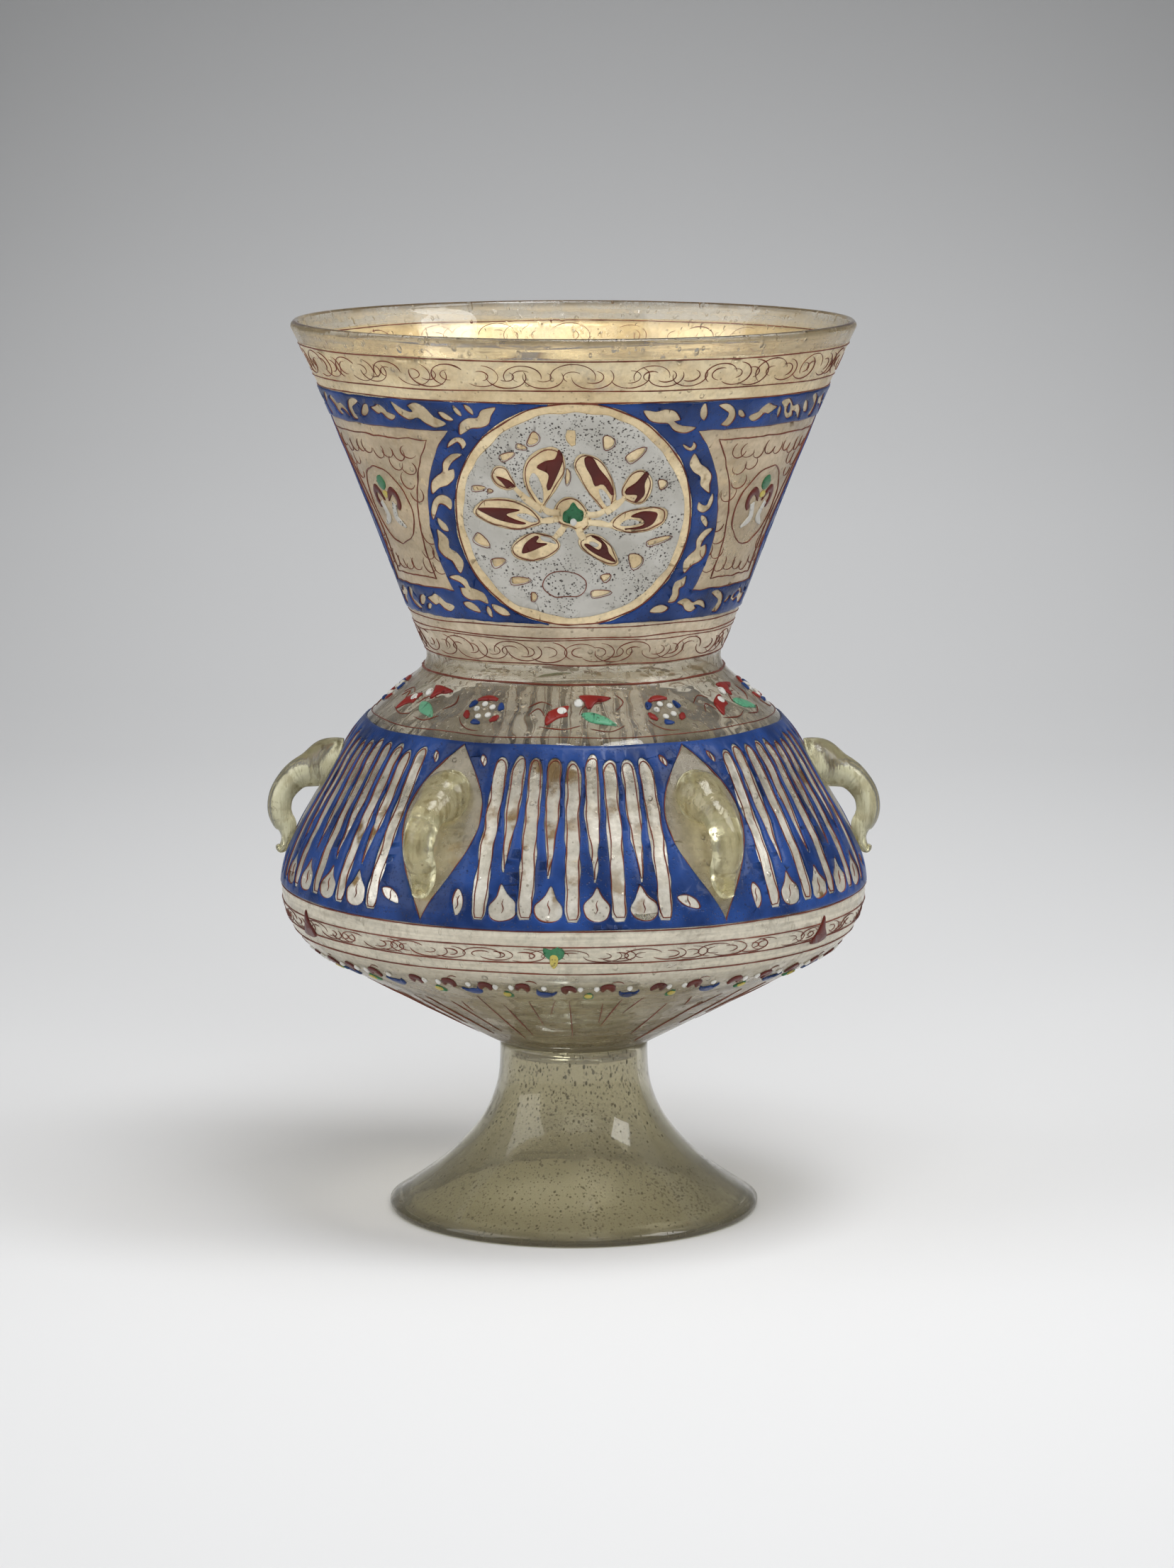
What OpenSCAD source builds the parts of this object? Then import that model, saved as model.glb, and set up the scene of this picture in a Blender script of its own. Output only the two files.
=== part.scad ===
// Enamelled glass mosque lamp: a blown vessel with a flared neck on an applied foot, six
// applied handles, fired enamel on its outside, and the small oil cup that burns inside it.
// Millimetres, +Z up. The origin is the middle of the table that the foot stands on, and
// the front, where the first roundel is, faces -Y.

/* [Foot] */
// Height of the applied foot, from the table to the vessel's seat
foot_h = 51.6; // [44:0.2:60]
// Radius of the foot's spread edge
foot_r = 56; // [48:0.5:66]
// Height of the upright edge round the foot
foot_edge_h = 2.4; // [1.6:0.1:4]
// Radius of the stem under the vessel
stem_r = 22.4; // [19:0.1:27]
// Height of the straight stem below the seat
stem_h = 5.6; // [3:0.1:9]
// How sharply the foot spreads, where 1 is a plain cone
foot_flare = 2.15; // [1.5:0.05:2.8]
// Thickness of the foot's glass
foot_wall = 3; // [2.2:0.1:4]
// Width of the ring that stands on the table
rest_ring_w = 4; // [3:0.1:7]
// Depth of the vessel's plug in the stem
plug_h = 4; // [2:0.1:8]

/* [Vessel] */
// Height of the belly's widest ring above the seat
belly_rise = 48.4; // [44:0.2:56]
// Outer radius at the widest ring
belly_r = 88.2; // [82:0.1:96]
// Radius of the round turn under the widest ring
belly_turn_r = 21.4; // [14:0.2:26]
// Height of the shoulder above the widest ring
shoulder_rise = 42; // [38:0.5:48]
// Outer radius at the shoulder, where the belly draws in
shoulder_r = 69.3; // [65:0.1:74]
// Lean of the wall at the shoulder, in degrees from upright
shoulder_lean = 29.5; // [24:0.5:35]
// Height of the waist above the shoulder
waist_rise = 27; // [23:0.5:33]
// Outer radius at the waist
waist_r = 43.9; // [40:0.1:50]
// Height of the neck, from the waist to the rim
neck_h = 101; // [92:0.5:118]
// Lean of the neck above the waist, in degrees from upright
neck_lean = 21; // [15:0.5:24]
// Outer radius at the rim
rim_r = 84.2; // [77:0.1:94]
// Lean of the neck at the rim, in degrees from upright
rim_lean = 27; // [20:0.5:33]
// Thickness of the vessel's wall
vessel_wall = 2.4; // [1.8:0.1:3.2]
// Thickness of the vessel's flat floor
floor_t = 4; // [3:0.1:7]

/* [Handles] */
// Number of handles round the belly
handle_count = 6; // [4:1:7]
// Height of a handle's root above the widest ring
handle_rise = 36; // [33:0.5:39]
// Drop from a handle's root to the tip of its tail
handle_drop = 26.2; // [22:0.2:28]
// Reach of the handle's loop from the wall to its middle line
handle_reach = 8.9; // [7.5:0.1:12]
// Thickness of the handle's root, seen from the side
handle_root_t = 16; // [12:0.2:17]
// Width of the handle's root
handle_root_w = 16; // [12:0.2:18]

/* [Enamel] */
// Thickness of the fired enamel
enamel_t = 0.5; // [0.3:0.05:1]
// Height of the neck's blue band above the waist
neck_band_rise = 16; // [12:0.5:22]
// Distance from the top of the neck's blue band to the rim
neck_band_drop = 19; // [14:0.5:24]
// Width of the blue strips above and below the panels
strip_w = 8.6; // [6:0.2:12]
// Number of roundels round the neck
roundel_count = 3; // [2:1:3]
// Width of the blue ring round each roundel
ring_w = 9; // [6:0.2:11]
// Width of the gilt ring between the blue ring and the white roundel
gilt_ring_w = 3.8; // [2:0.2:6]
// Height of the belly band's lower edge above the widest ring
belly_band_rise = 1.5; // [0.5:0.1:4]
// Height of the belly band's upper edge above the shoulder
belly_band_over = 9; // [5:0.5:11]
// Bare glass left on each side of a handle's root
almond_margin = 4.6; // [3:0.1:6]
// Number of reserved staves between two handles
stave_count = 9; // [5:2:9]
// Width of a reserved stave
stave_w = 4; // [2.6:0.1:4.2]
// Blue left above and below the staves
stave_margin = 2.6; // [1.6:0.1:4]
// How much higher every second stave ends, to make room for a bud
short_stave_lift = 14; // [10:0.5:18]
// Radius of the bud under a short stave
bud_r = 2.6; // [1.5:0.1:2.8]

/* [Oil cup] */
// Height of the oil cup
cup_h = 44; // [34:0.5:60]
// Radius of the oil cup's base
cup_base_r = 17; // [12:0.5:21]
// Radius of the oil cup's rim
cup_rim_r = 25; // [20:0.5:32]
// Thickness of the oil cup's wall
cup_wall = 2; // [1.4:0.1:3]
// Thickness of the oil cup's floor
cup_floor_t = 3; // [2:0.1:5]

/* [Wick holder] */
// Number of arms on the wick bridge
arm_count = 3; // [2:1:5]
// Width of an arm
arm_w = 5; // [3:0.1:7]
// Thickness of the bridge's sheet brass
arm_t = 1.2; // [0.8:0.1:2]
// Length of the turned-down hook at the end of an arm
hook_h = 6; // [3:0.1:10]
// Bore of the wick tube
tube_bore_d = 5.2; // [4:0.1:7]
// Thickness of the wick tube's wall
tube_wall = 0.8; // [0.5:0.1:1.5]
// Length of the tube below the bridge
tube_below = 18; // [10:0.5:24]
// Length of the tube above the bridge
tube_above = 6; // [3:0.5:12]
// Length of wick that shows above the tube
wick_show = 4; // [2:0.2:8]
// Room between the wick's lower end and the cup's floor
wick_end_room = 4; // [2:0.2:10]

/* [Clearances] */
// Gap between glass and what is fired onto it
fired_gap = 0.02; // [0.01:0.01:0.1]
// Gap round the vessel's plug and the wick tube
joint_gap = 0.05; // [0.02:0.01:0.15]
// Room round pieces that lift out
lift_gap = 0.4; // [0.3:0.05:0.8]

/* [Hidden] */
$fn = 96;

glass_tint = [0.74, 0.72, 0.62, 0.55];
handle_tint = [0.72, 0.70, 0.45, 0.8];
cobalt = [0.05, 0.13, 0.48];
roundel_white = [0.74, 0.76, 0.76];
cup_tint = [0.80, 0.84, 0.82, 0.6];
brass = [0.72, 0.56, 0.26];
cotton = [0.90, 0.87, 0.78];

// Heights, each measured up from the one below it
belly_z = foot_h + belly_rise;
shoulder_z = belly_z + shoulder_rise;
waist_z = shoulder_z + waist_rise;
rim_z = waist_z + neck_h;
floor_z = foot_h + floor_t;

// Curves and lists
function bezier(p, t) =
    pow(1 - t, 3) * p[0] + 3 * t * pow(1 - t, 2) * p[1] + 3 * t * t * (1 - t) * p[2] + pow(t, 3) * p[3];
function curve(p, steps) = [for (i = [1:steps]) bezier(p, i / steps)];
function leaning(a) = [sin(a), cos(a)];
function reversed(a) = [for (i = [len(a) - 1:-1:0]) a[i]];
function unit(v) = v / norm(v);
function outward(p, i) =
    let (along = unit(p[min(i + 1, len(p) - 1)] - p[max(i - 1, 0)]))
    [along[1], -along[0]];

// Outer line of the vessel, [radius, height], from its seat on the foot up to the rim
turn_steps = 8;
upper_steps = 8;
shoulder_steps = 8;
fillet_steps = 3;
neck_steps = 12;
seat = [stem_r, foot_h];
turn_mid = [belly_r - belly_turn_r, belly_z];
cone_angle = atan2(turn_mid[1] - seat[1], turn_mid[0] - seat[0])
    - asin(belly_turn_r / norm(turn_mid - seat));
widest = [belly_r, belly_z];
shoulder = [shoulder_r, shoulder_z];
waist = [waist_r, waist_z];
// The neck leaves the waist through a short fillet, this high and this far out
fillet_h = 7.5;
fillet_out = 2.7;
fillet_end = waist + [fillet_out, fillet_h];
rim_outer = [rim_r, rim_z - vessel_wall / 2 * (1 + sin(rim_lean))];
// How far each curve keeps to its end directions, as a share of its height
widest_pull = 0.29;
shoulder_pull_below = 0.43;
shoulder_pull_above = 0.61;
waist_pull = 0.2;
fillet_pull = 0.45;
neck_pull = 0.33;
neck_run = rim_outer[1] - fillet_end[1];
outer_line = concat(
    [seat],
    [for (i = [0:turn_steps])
        let (a = (cone_angle - 90) * (1 - i / turn_steps))
        turn_mid + belly_turn_r * [cos(a), sin(a)]],
    curve([
        widest,
        widest + [0, widest_pull * shoulder_rise],
        shoulder - shoulder_pull_below * shoulder_rise * leaning(-shoulder_lean),
        shoulder
    ], upper_steps),
    curve([
        shoulder,
        shoulder + shoulder_pull_above * waist_rise * leaning(-shoulder_lean),
        waist - [0, waist_pull * waist_rise],
        waist
    ], shoulder_steps),
    curve([
        waist,
        waist + [0, fillet_pull * fillet_h],
        fillet_end - fillet_pull * fillet_h * leaning(neck_lean),
        fillet_end
    ], fillet_steps),
    curve([
        fillet_end,
        fillet_end + neck_pull * neck_run * leaning(neck_lean),
        rim_outer - neck_pull * neck_run * leaning(rim_lean),
        rim_outer
    ], neck_steps)
);
inner_line = [for (i = [0:len(outer_line) - 1]) outer_line[i] - vessel_wall * outward(outer_line, i)];
cone_wall = inner_line[1] - inner_line[0];
floor_r = inner_line[0][0] + (floor_z - inner_line[0][1]) * cone_wall[0] / cone_wall[1];
rim_steps = 8;
rim_out = outward(outer_line, len(outer_line) - 1);
rim_along = [-rim_out[1], rim_out[0]];
rim_mid = outer_line[len(outer_line) - 1] - vessel_wall / 2 * rim_out;

// The vessel's outer radius, and the lean of its wall, at a height
wall_table = [for (p = outer_line) [p[1], p[0]]];
function wall_r(z) = lookup(z, wall_table);
function wall_lean(z) = atan((wall_r(z + 2) - wall_r(z - 2)) / 4);
function heights(z0, z1) =
    let (near = 0.3)
    concat([z0], [for (p = outer_line) if (p[1] > z0 + near && p[1] < z1 - near) p[1]], [z1]);

// Turns what is built along +X to an azimuth counted from the front, to the right
module at_azimuth(a) {
    rotate([0, 0, a - 90]) children();
}

// A revolved skin that follows the vessel's wall between two heights
module wall_skin(z0, z1, gap, t) {
    levels = heights(z0, z1);
    rotate_extrude()
        polygon(concat(
            [for (z = levels) [wall_r(z) + gap + t, z]],
            [for (z = reversed(levels)) [wall_r(z) + gap, z]]
        ));
}

// The solid space that the vessel fills between two heights, grown by a gap
module wall_core(z0, z1, gap) {
    levels = heights(z0, z1);
    rotate_extrude()
        polygon(concat([[0, z0]], [for (z = levels) [wall_r(z) + gap, z]], [[0, z1]]));
}

module vessel() {
    color(glass_tint)
        rotate_extrude()
            polygon(concat(
                [[0, foot_h - plug_h], [plug_r, foot_h - plug_h], [plug_r, foot_h]],
                outer_line,
                [for (i = [1:rim_steps])
                    let (a = 180 * i / rim_steps)
                    rim_mid + vessel_wall / 2 * (cos(a) * rim_out + sin(a) * rim_along)],
                reversed([for (i = [1:len(inner_line) - 2]) inner_line[i]]),
                [[floor_r, floor_z], [0, floor_z]]
            ));
}

// The foot spreads from the stem to its edge and is hollow and open below
flare_steps = 10;
flare_h = foot_h - stem_h - foot_edge_h;
edge_round = 0.8;
bore_r = stem_r - foot_wall;
plug_r = bore_r - joint_gap;
function foot_out(t) = stem_r + (foot_r - stem_r) * pow(1 - t, foot_flare);
function foot_slope(t) = (foot_r - stem_r) * foot_flare * pow(1 - t, foot_flare - 1) / flare_h;
function foot_in(t) = foot_out(t) - foot_wall * sqrt(1 + pow(foot_slope(t), 2));

module foot() {
    color(glass_tint)
        rotate_extrude()
            polygon(concat(
                [[foot_r - rest_ring_w, 0], [foot_r - edge_round, 0], [foot_r, edge_round]],
                [for (i = [0:flare_steps])
                    let (t = i / flare_steps)
                    [foot_out(t), foot_edge_h + t * flare_h]],
                [[stem_r, foot_h], [bore_r, foot_h]],
                [for (i = [flare_steps:-1:0])
                    let (t = i / flare_steps)
                    [foot_in(t), foot_edge_h + t * flare_h]]
            ));
}

// A handle's middle line from its root, round the loop and down to its curled tail: the
// shares of handle_drop below the root and of handle_reach off the wall, and the shares of
// the root's thickness and width there
handle_stations = [
    [0.00, -0.45, 1.00, 0.88],
    [0.00, 0.17, 1.00, 1.00],
    [0.06, 0.62, 0.71, 0.78],
    [0.14, 1.00, 0.56, 0.66],
    [0.32, 1.13, 0.49, 0.63],
    [0.50, 0.96, 0.47, 0.62],
    [0.63, 0.67, 0.45, 0.60],
    [0.72, 0.38, 0.40, 0.57],
    [0.84, 0.20, 0.25, 0.52],
    [0.94, 0.17, 0.20, 0.42],
    [1.00, 0.26, 0.15, 0.30],
    [0.94, 0.42, 0.09, 0.20]
];
handle_steps = 3;
handle_sides = 12;
handle_root_z = belly_z + handle_rise;
handle_pitch = 360 / handle_count;

function station(i) = handle_stations[max(0, min(len(handle_stations) - 1, i))];
function through(a, b, c, d, t) =
    b + t / 2 * (c - a + t * (2 * a - 5 * b + 4 * c - d + t * (3 * (b - c) + d - a)));
function handle_line(s) =
    let (i = min(floor(s), len(handle_stations) - 2))
    through(station(i - 1), station(i), station(i + 1), station(i + 2), s - i);
function handle_at(s) =
    let (h = handle_line(s), z = handle_root_z - handle_drop * h[0])
    [wall_r(z) + handle_reach * h[1], z];
function handle_ring(s) =
    let (
        near = 0.05,
        end = len(handle_stations) - 1,
        h = handle_line(s),
        mid = handle_at(s),
        along = unit(handle_at(min(s + near, end)) - handle_at(max(s - near, 0))),
        across = [-along[1], along[0]]
    )
    [for (k = [0:handle_sides - 1])
        let (
            a = 360 * k / handle_sides,
            p = mid + across * (handle_root_t / 2 * h[2] * cos(a))
        )
        [p[0], handle_root_w / 2 * h[3] * sin(a), p[1]]];
handle_rings = [for (s = [0:1 / handle_steps:len(handle_stations) - 1 + 0.01]) handle_ring(s)];

module handle(number) {
    n = handle_sides;
    last = len(handle_rings) - 1;
    points = [for (ring = handle_rings) each ring];
    faces = concat(
        [[for (k = [0:n - 1]) k]],
        [for (j = [0:last - 1], k = [0:n - 1], half = [0, 1])
            let (a = j * n + k, b = j * n + (k + 1) % n)
            half == 0 ? [a, a + n, b] : [b, a + n, b + n]],
        [[for (k = [n - 1:-1:0]) last * n + k]]
    );
    reach_below = handle_drop + handle_root_t / 2;
    color(handle_tint)
        at_azimuth(handle_pitch * (number - 0.5))
            difference() {
                polyhedron(points, faces);
                wall_core(handle_root_z - reach_below, handle_root_z + handle_root_t, fired_gap);
            }
}

// The neck's blue band: strips above and below, and rings round the roundels
neck_band_z0 = waist_z + neck_band_rise;
neck_band_z1 = rim_z - neck_band_drop;
roundel_pitch = 360 / roundel_count;
roundel_z = (neck_band_z0 + neck_band_z1) / 2;
roundel_lean = wall_lean(roundel_z);
// The gilt ring cuts the blue band right through at its top and bottom
ring_break = 0.7;
gilt_r = (neck_band_z1 - neck_band_z0) / 2 / cos(roundel_lean) + ring_break;
roundel_r = gilt_r - gilt_ring_w;
drill_depth = waist_r;

// A round drill square to the neck's wall, from inside the glass outwards
module roundel_drill(number, r) {
    at_azimuth(roundel_pitch * (number - 1))
        translate([wall_r(roundel_z), 0, roundel_z])
            rotate([0, 90 + roundel_lean, 0])
                translate([0, 0, -drill_depth])
                    cylinder(r = r, h = 2 * drill_depth);
}

module neck_blue_enamel() {
    color(cobalt)
        difference() {
            wall_skin(neck_band_z0, neck_band_z1, fired_gap, enamel_t);
            for (i = [1:roundel_count]) roundel_drill(i, gilt_r);
            difference() {
                wall_skin(
                    neck_band_z0 + strip_w, neck_band_z1 - strip_w,
                    -vessel_wall, 2 * vessel_wall + enamel_t
                );
                for (i = [1:roundel_count]) roundel_drill(i, gilt_r + ring_w);
            }
        }
}

module roundel_enamel(number) {
    color(roundel_white)
        intersection() {
            wall_skin(neck_band_z0, neck_band_z1, fired_gap, enamel_t);
            roundel_drill(number, roundel_r);
        }
}

// The belly's blue band, with an almond of bare glass round each handle and, between them,
// rows of reserved staves where every second one is short and has a bud under it
belly_band_z0 = belly_z + belly_band_rise;
belly_band_z1 = shoulder_z + belly_band_over;
stave_z0 = belly_band_z0 + stave_margin;
stave_z1 = belly_band_z1 - stave_margin;
almond_half_w = handle_root_w / 2 + almond_margin;
almond_h = belly_band_z1 - belly_band_z0 - stave_margin / 2;
almond_skew = 1.25;
almond_steps = 20;
almond_angle = atan(almond_half_w / wall_r(handle_root_z));
stave_pitch = (handle_pitch - 2 * almond_angle) / stave_count;

// A flat shape, drawn upright, pushed out through the wall at an azimuth
module through_wall(a) {
    at_azimuth(a)
        rotate([90, 0, 90])
            translate([0, 0, waist_r])
                linear_extrude(belly_r)
                    children();
}

module almond() {
    widths = [for (i = [0:almond_steps])
        let (t = i / almond_steps)
        [almond_half_w * sin(180 * pow(t, almond_skew)), stave_margin / 4 + t * almond_h]];
    translate([0, belly_band_z0])
        polygon(concat(
            widths,
            [for (i = [almond_steps - 1:-1:1]) [-widths[i][0], widths[i][1]]]
        ));
}

module stave(z0) {
    translate([-stave_w / 2, z0]) square([stave_w, stave_z1 - z0 - stave_w / 2]);
    translate([0, stave_z1 - stave_w / 2]) circle(d = stave_w);
}

module belly_blue_enamel() {
    color(cobalt)
        difference() {
            wall_skin(belly_band_z0, belly_band_z1, fired_gap, enamel_t);
            for (i = [1:handle_count]) {
                through_wall(handle_pitch * (i - 0.5)) almond();
                for (k = [0:stave_count - 1])
                    through_wall(handle_pitch * i + stave_pitch * (k - (stave_count - 1) / 2))
                        if (k % 2 == 0) {
                            stave(stave_z0);
                        } else {
                            stave(stave_z0 + short_stave_lift);
                            translate([0, stave_z0 + bud_r]) circle(r = bud_r);
                        }
            }
        }
}

// The oil cup stands on the vessel's floor
cup_z1 = floor_z + cup_h;

module oil_cup() {
    color(cup_tint)
        rotate_extrude()
            polygon([
                [0, floor_z],
                [cup_base_r, floor_z],
                [cup_rim_r, cup_z1],
                [cup_rim_r - cup_wall, cup_z1],
                [cup_base_r - cup_wall, floor_z + cup_floor_t],
                [0, floor_z + cup_floor_t]
            ]);
}

// The wick bridge lies on the cup's rim, and its hooks hang outside it
tube_r = tube_bore_d / 2 + tube_wall;
bridge_r = cup_rim_r + lift_gap + arm_t;
hub_r = tube_r + arm_w / 2;
arm_pitch = 360 / arm_count;

module wick_bridge() {
    color(brass)
        difference() {
            union() {
                translate([0, 0, cup_z1]) cylinder(r = hub_r, h = arm_t);
                for (i = [1:arm_count])
                    at_azimuth(arm_pitch * (i - 0.5)) {
                        translate([0, -arm_w / 2, cup_z1]) cube([bridge_r, arm_w, arm_t]);
                        translate([bridge_r - arm_t, -arm_w / 2, cup_z1 - hook_h])
                            cube([arm_t, arm_w, hook_h]);
                    }
            }
            translate([0, 0, cup_z1 - arm_t]) cylinder(r = tube_r + joint_gap, h = 3 * arm_t);
        }
}

// The tube hangs in the bridge by a collar
collar_w = 1.2;
collar_h = 1.5;

module wick_tube() {
    color(brass)
        difference() {
            union() {
                translate([0, 0, cup_z1 - tube_below])
                    cylinder(r = tube_r, h = tube_below + arm_t + tube_above);
                translate([0, 0, cup_z1 + arm_t]) cylinder(r = tube_r + collar_w, h = collar_h);
            }
            translate([0, 0, cup_z1 - tube_below - tube_wall])
                cylinder(d = tube_bore_d, h = tube_below + arm_t + tube_above + 2 * tube_wall);
        }
}

module wick() {
    wick_z0 = floor_z + cup_floor_t + wick_end_room;
    wick_z1 = cup_z1 + arm_t + tube_above + wick_show;
    color(cotton)
        translate([0, 0, wick_z0])
            cylinder(r = tube_bore_d / 2 - joint_gap, h = wick_z1 - wick_z0);
}

vessel();
foot();
for (i = [1:handle_count])
    handle(i);
neck_blue_enamel();
belly_blue_enamel();
for (i = [1:roundel_count])
    roundel_enamel(i);
oil_cup();
wick_bridge();
wick_tube();
wick();
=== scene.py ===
# %% [markdown]
# # An enamelled glass lamp, dressed step by step
# The solids of the lamp are loaded as a frame that never moves. Everything below is laid on
# them: smooth glass in place of the plain turned solids, then the enamel, the drawn red lines
# and the gilding, which on the real lamp are painted on the outside of the glass and fired.

# %% Load the solids
import math
import random

import bmesh
import bpy
from mathutils import Matrix, Vector, kdtree, noise
from mathutils.bvhtree import BVHTree


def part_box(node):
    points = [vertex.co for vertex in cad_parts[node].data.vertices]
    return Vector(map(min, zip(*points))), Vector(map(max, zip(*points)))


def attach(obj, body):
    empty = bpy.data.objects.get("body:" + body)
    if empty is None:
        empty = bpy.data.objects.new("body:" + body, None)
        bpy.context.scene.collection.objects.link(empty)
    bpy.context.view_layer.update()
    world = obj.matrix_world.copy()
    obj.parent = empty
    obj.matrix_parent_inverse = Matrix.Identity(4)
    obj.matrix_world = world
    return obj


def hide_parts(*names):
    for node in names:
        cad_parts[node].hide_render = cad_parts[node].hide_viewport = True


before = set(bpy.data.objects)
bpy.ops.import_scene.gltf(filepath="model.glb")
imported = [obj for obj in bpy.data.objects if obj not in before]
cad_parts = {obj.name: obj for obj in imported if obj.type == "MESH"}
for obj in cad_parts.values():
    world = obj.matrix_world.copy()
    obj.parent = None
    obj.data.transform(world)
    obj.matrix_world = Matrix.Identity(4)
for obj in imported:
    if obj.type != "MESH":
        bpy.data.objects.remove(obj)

MM = 0.001
# The painter's hand shakes by noise, with a seed so that every run draws the same lines
NOISE_SEED = 5
noise.seed_set(NOISE_SEED)
scene = bpy.context.scene
scene.view_settings.view_transform = "Standard"
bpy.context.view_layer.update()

# %% [markdown]
# ## The camera
# The lamp was photographed from about a metre and a half, a little above its rim, looking
# down by nine degrees. A long lens keeps the ellipses of rim and foot shallow. The lens comes
# from the focal length in picture heights, so the frame fits at any number of pixels.

# %% Camera
PHOTO_TALL = 2212
FOCAL_PX = 7201
SENSOR = 36.0
CAMERA_AT = Vector((0.004, -1.520, 0.376))
CAMERA_TILT = math.radians(9.2)

camera_data = bpy.data.cameras.new("camera")
camera_data.sensor_width = SENSOR
camera_data.lens = FOCAL_PX / PHOTO_TALL * SENSOR
camera_data.clip_end = 30
camera = bpy.data.objects.new("camera", camera_data)
camera.location = CAMERA_AT
camera.rotation_euler = (math.radians(90) - CAMERA_TILT, 0, 0)
scene.collection.objects.link(camera)
scene.camera = camera
print("lens:", round(camera_data.lens, 1), "mm")

# %% [markdown]
# ## Writing materials as sums
# A material is a graph of nodes, and long graphs are hard to read in code. Here one small
# class wraps a socket, so that `a * 0.5 + b` adds the Math nodes by itself, and one method adds
# any other node: its type, its settings, then what goes into its sockets.

# %% Sockets that add up
class Term:
    """A socket that takes part in Python arithmetic."""

    def __init__(self, finish, socket):
        self.finish = finish
        self.socket = socket

    def __add__(self, other):
        return self.finish.maths("ADD", self, other)

    def __sub__(self, other):
        return self.finish.maths("SUBTRACT", self, other)

    def __rsub__(self, other):
        return self.finish.maths("SUBTRACT", other, self)

    def __mul__(self, other):
        return self.finish.maths("MULTIPLY", self, other)

    __radd__ = __add__
    __rmul__ = __mul__


# %% A material that is written as an expression
class Finish:
    """A material under construction."""

    def __init__(self, name):
        self.material = bpy.data.materials.new(name)
        self.material.use_nodes = True
        self.tree = self.material.node_tree
        self.tree.nodes.clear()
        self.here = self.add("TexCoord", {}, {}, "Object")

    def add(self, kind, settings, sockets, output=0):
        node = self.tree.nodes.new("ShaderNode" + kind)
        for key, value in settings.items():
            if key == "stops":
                self.set_stops(node.color_ramp.elements, value)
            else:
                setattr(node, key, value)
        for key, value in sockets.items():
            if isinstance(value, Term):
                self.tree.links.new(value.socket, node.inputs[key])
            else:
                node.inputs[key].default_value = value
        return Term(self, node.outputs[output]) if node.outputs else None

    def set_stops(self, elements, stops):
        while len(elements) < len(stops):
            elements.new(0.5)
        for element, (place, colour) in zip(elements, stops):
            element.position = place
            element.color = colour

    def maths(self, operation, first, second):
        return self.add("Math", {"operation": operation}, {0: first, 1: second})

    def ramp(self, value, stops):
        return self.add("ValToRGB", {"stops": stops}, {"Fac": value})

    def along(self, axis):
        return self.add("SeparateXYZ", {}, {"Vector": self.here}, axis)

    def height(self):
        return self.along("Z") * (1 / MM)

    def stretched(self, x, y, z):
        return self.add("Mapping", {}, {"Vector": self.here, "Scale": (x, y, z)})

    def grain(self, scale, detail=3.0, where=None):
        sockets = {"Vector": where or self.here, "Scale": scale, "Detail": detail}
        return self.add("TexNoise", {}, sockets)

    def dots(self, scale, radius, where=None):
        sockets = {"Vector": where or self.here, "Scale": scale}
        far = self.add("TexVoronoi", {}, sockets, "Distance")
        return self.ease(far, radius, radius * 0.4)

    def ease(self, value, low, high):
        sockets = {"Value": value, "From Min": low, "From Max": high}
        return self.add("MapRange", {"interpolation_type": "SMOOTHSTEP"}, sockets)

    def blend(self, share, first, second):
        sockets = {"Factor": share, 6: first, 7: second}
        return self.add("Mix", {"data_type": "RGBA"}, sockets, 2)

    def wear(self):
        patches = self.ease(self.grain(70, 4.0), 0.30, 0.66)
        fine = self.ease(self.grain(600, 3.0), 0.32, 0.60)
        return patches * 0.40 + fine * 0.16 + 0.40

    def bump(self, height, distance):
        return self.add("Bump", {}, {"Height": height, "Distance": distance})

    def shader(self, **sockets):
        named = {key.replace("_", " "): value for key, value in sockets.items()}
        return self.add("BsdfPrincipled", {}, named)

    def mixed(self, share, first, second):
        return self.add("MixShader", {}, {0: share, 1: first, 2: second})

    def lets_light_through(self, shader, tint):
        shadow = self.add("LightPath", {}, {}, "Is Shadow Ray")
        clear = self.add("BsdfTransparent", {}, {"Color": tint})
        return self.mixed(shadow, shader, clear)

    def done(self, shader):
        self.add("OutputMaterial", {}, {"Surface": shader})
        return self.material


def paint(red, green, blue):
    return (red, green, blue, 1.0)


def grey(value):
    return paint(value, value, value)


print("material tools ready")

# %% [markdown]
# ## Reading the wall
# The vessel and its foot are blown and turned, so each is one curve spun round an axis. The
# solids hold that curve in short straight steps. Rays shot at the axis read it back at every
# half millimetre, and a few rounds of averaging take the corners out of it. All of the
# enamel is later laid on this same curve, so nothing floats and nothing sinks in.

# %% Read a turned solid
RAY_AZIMUTH = math.radians(1.7)
RAY_FROM = 0.4
PROFILE_STEP = 0.5


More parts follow.
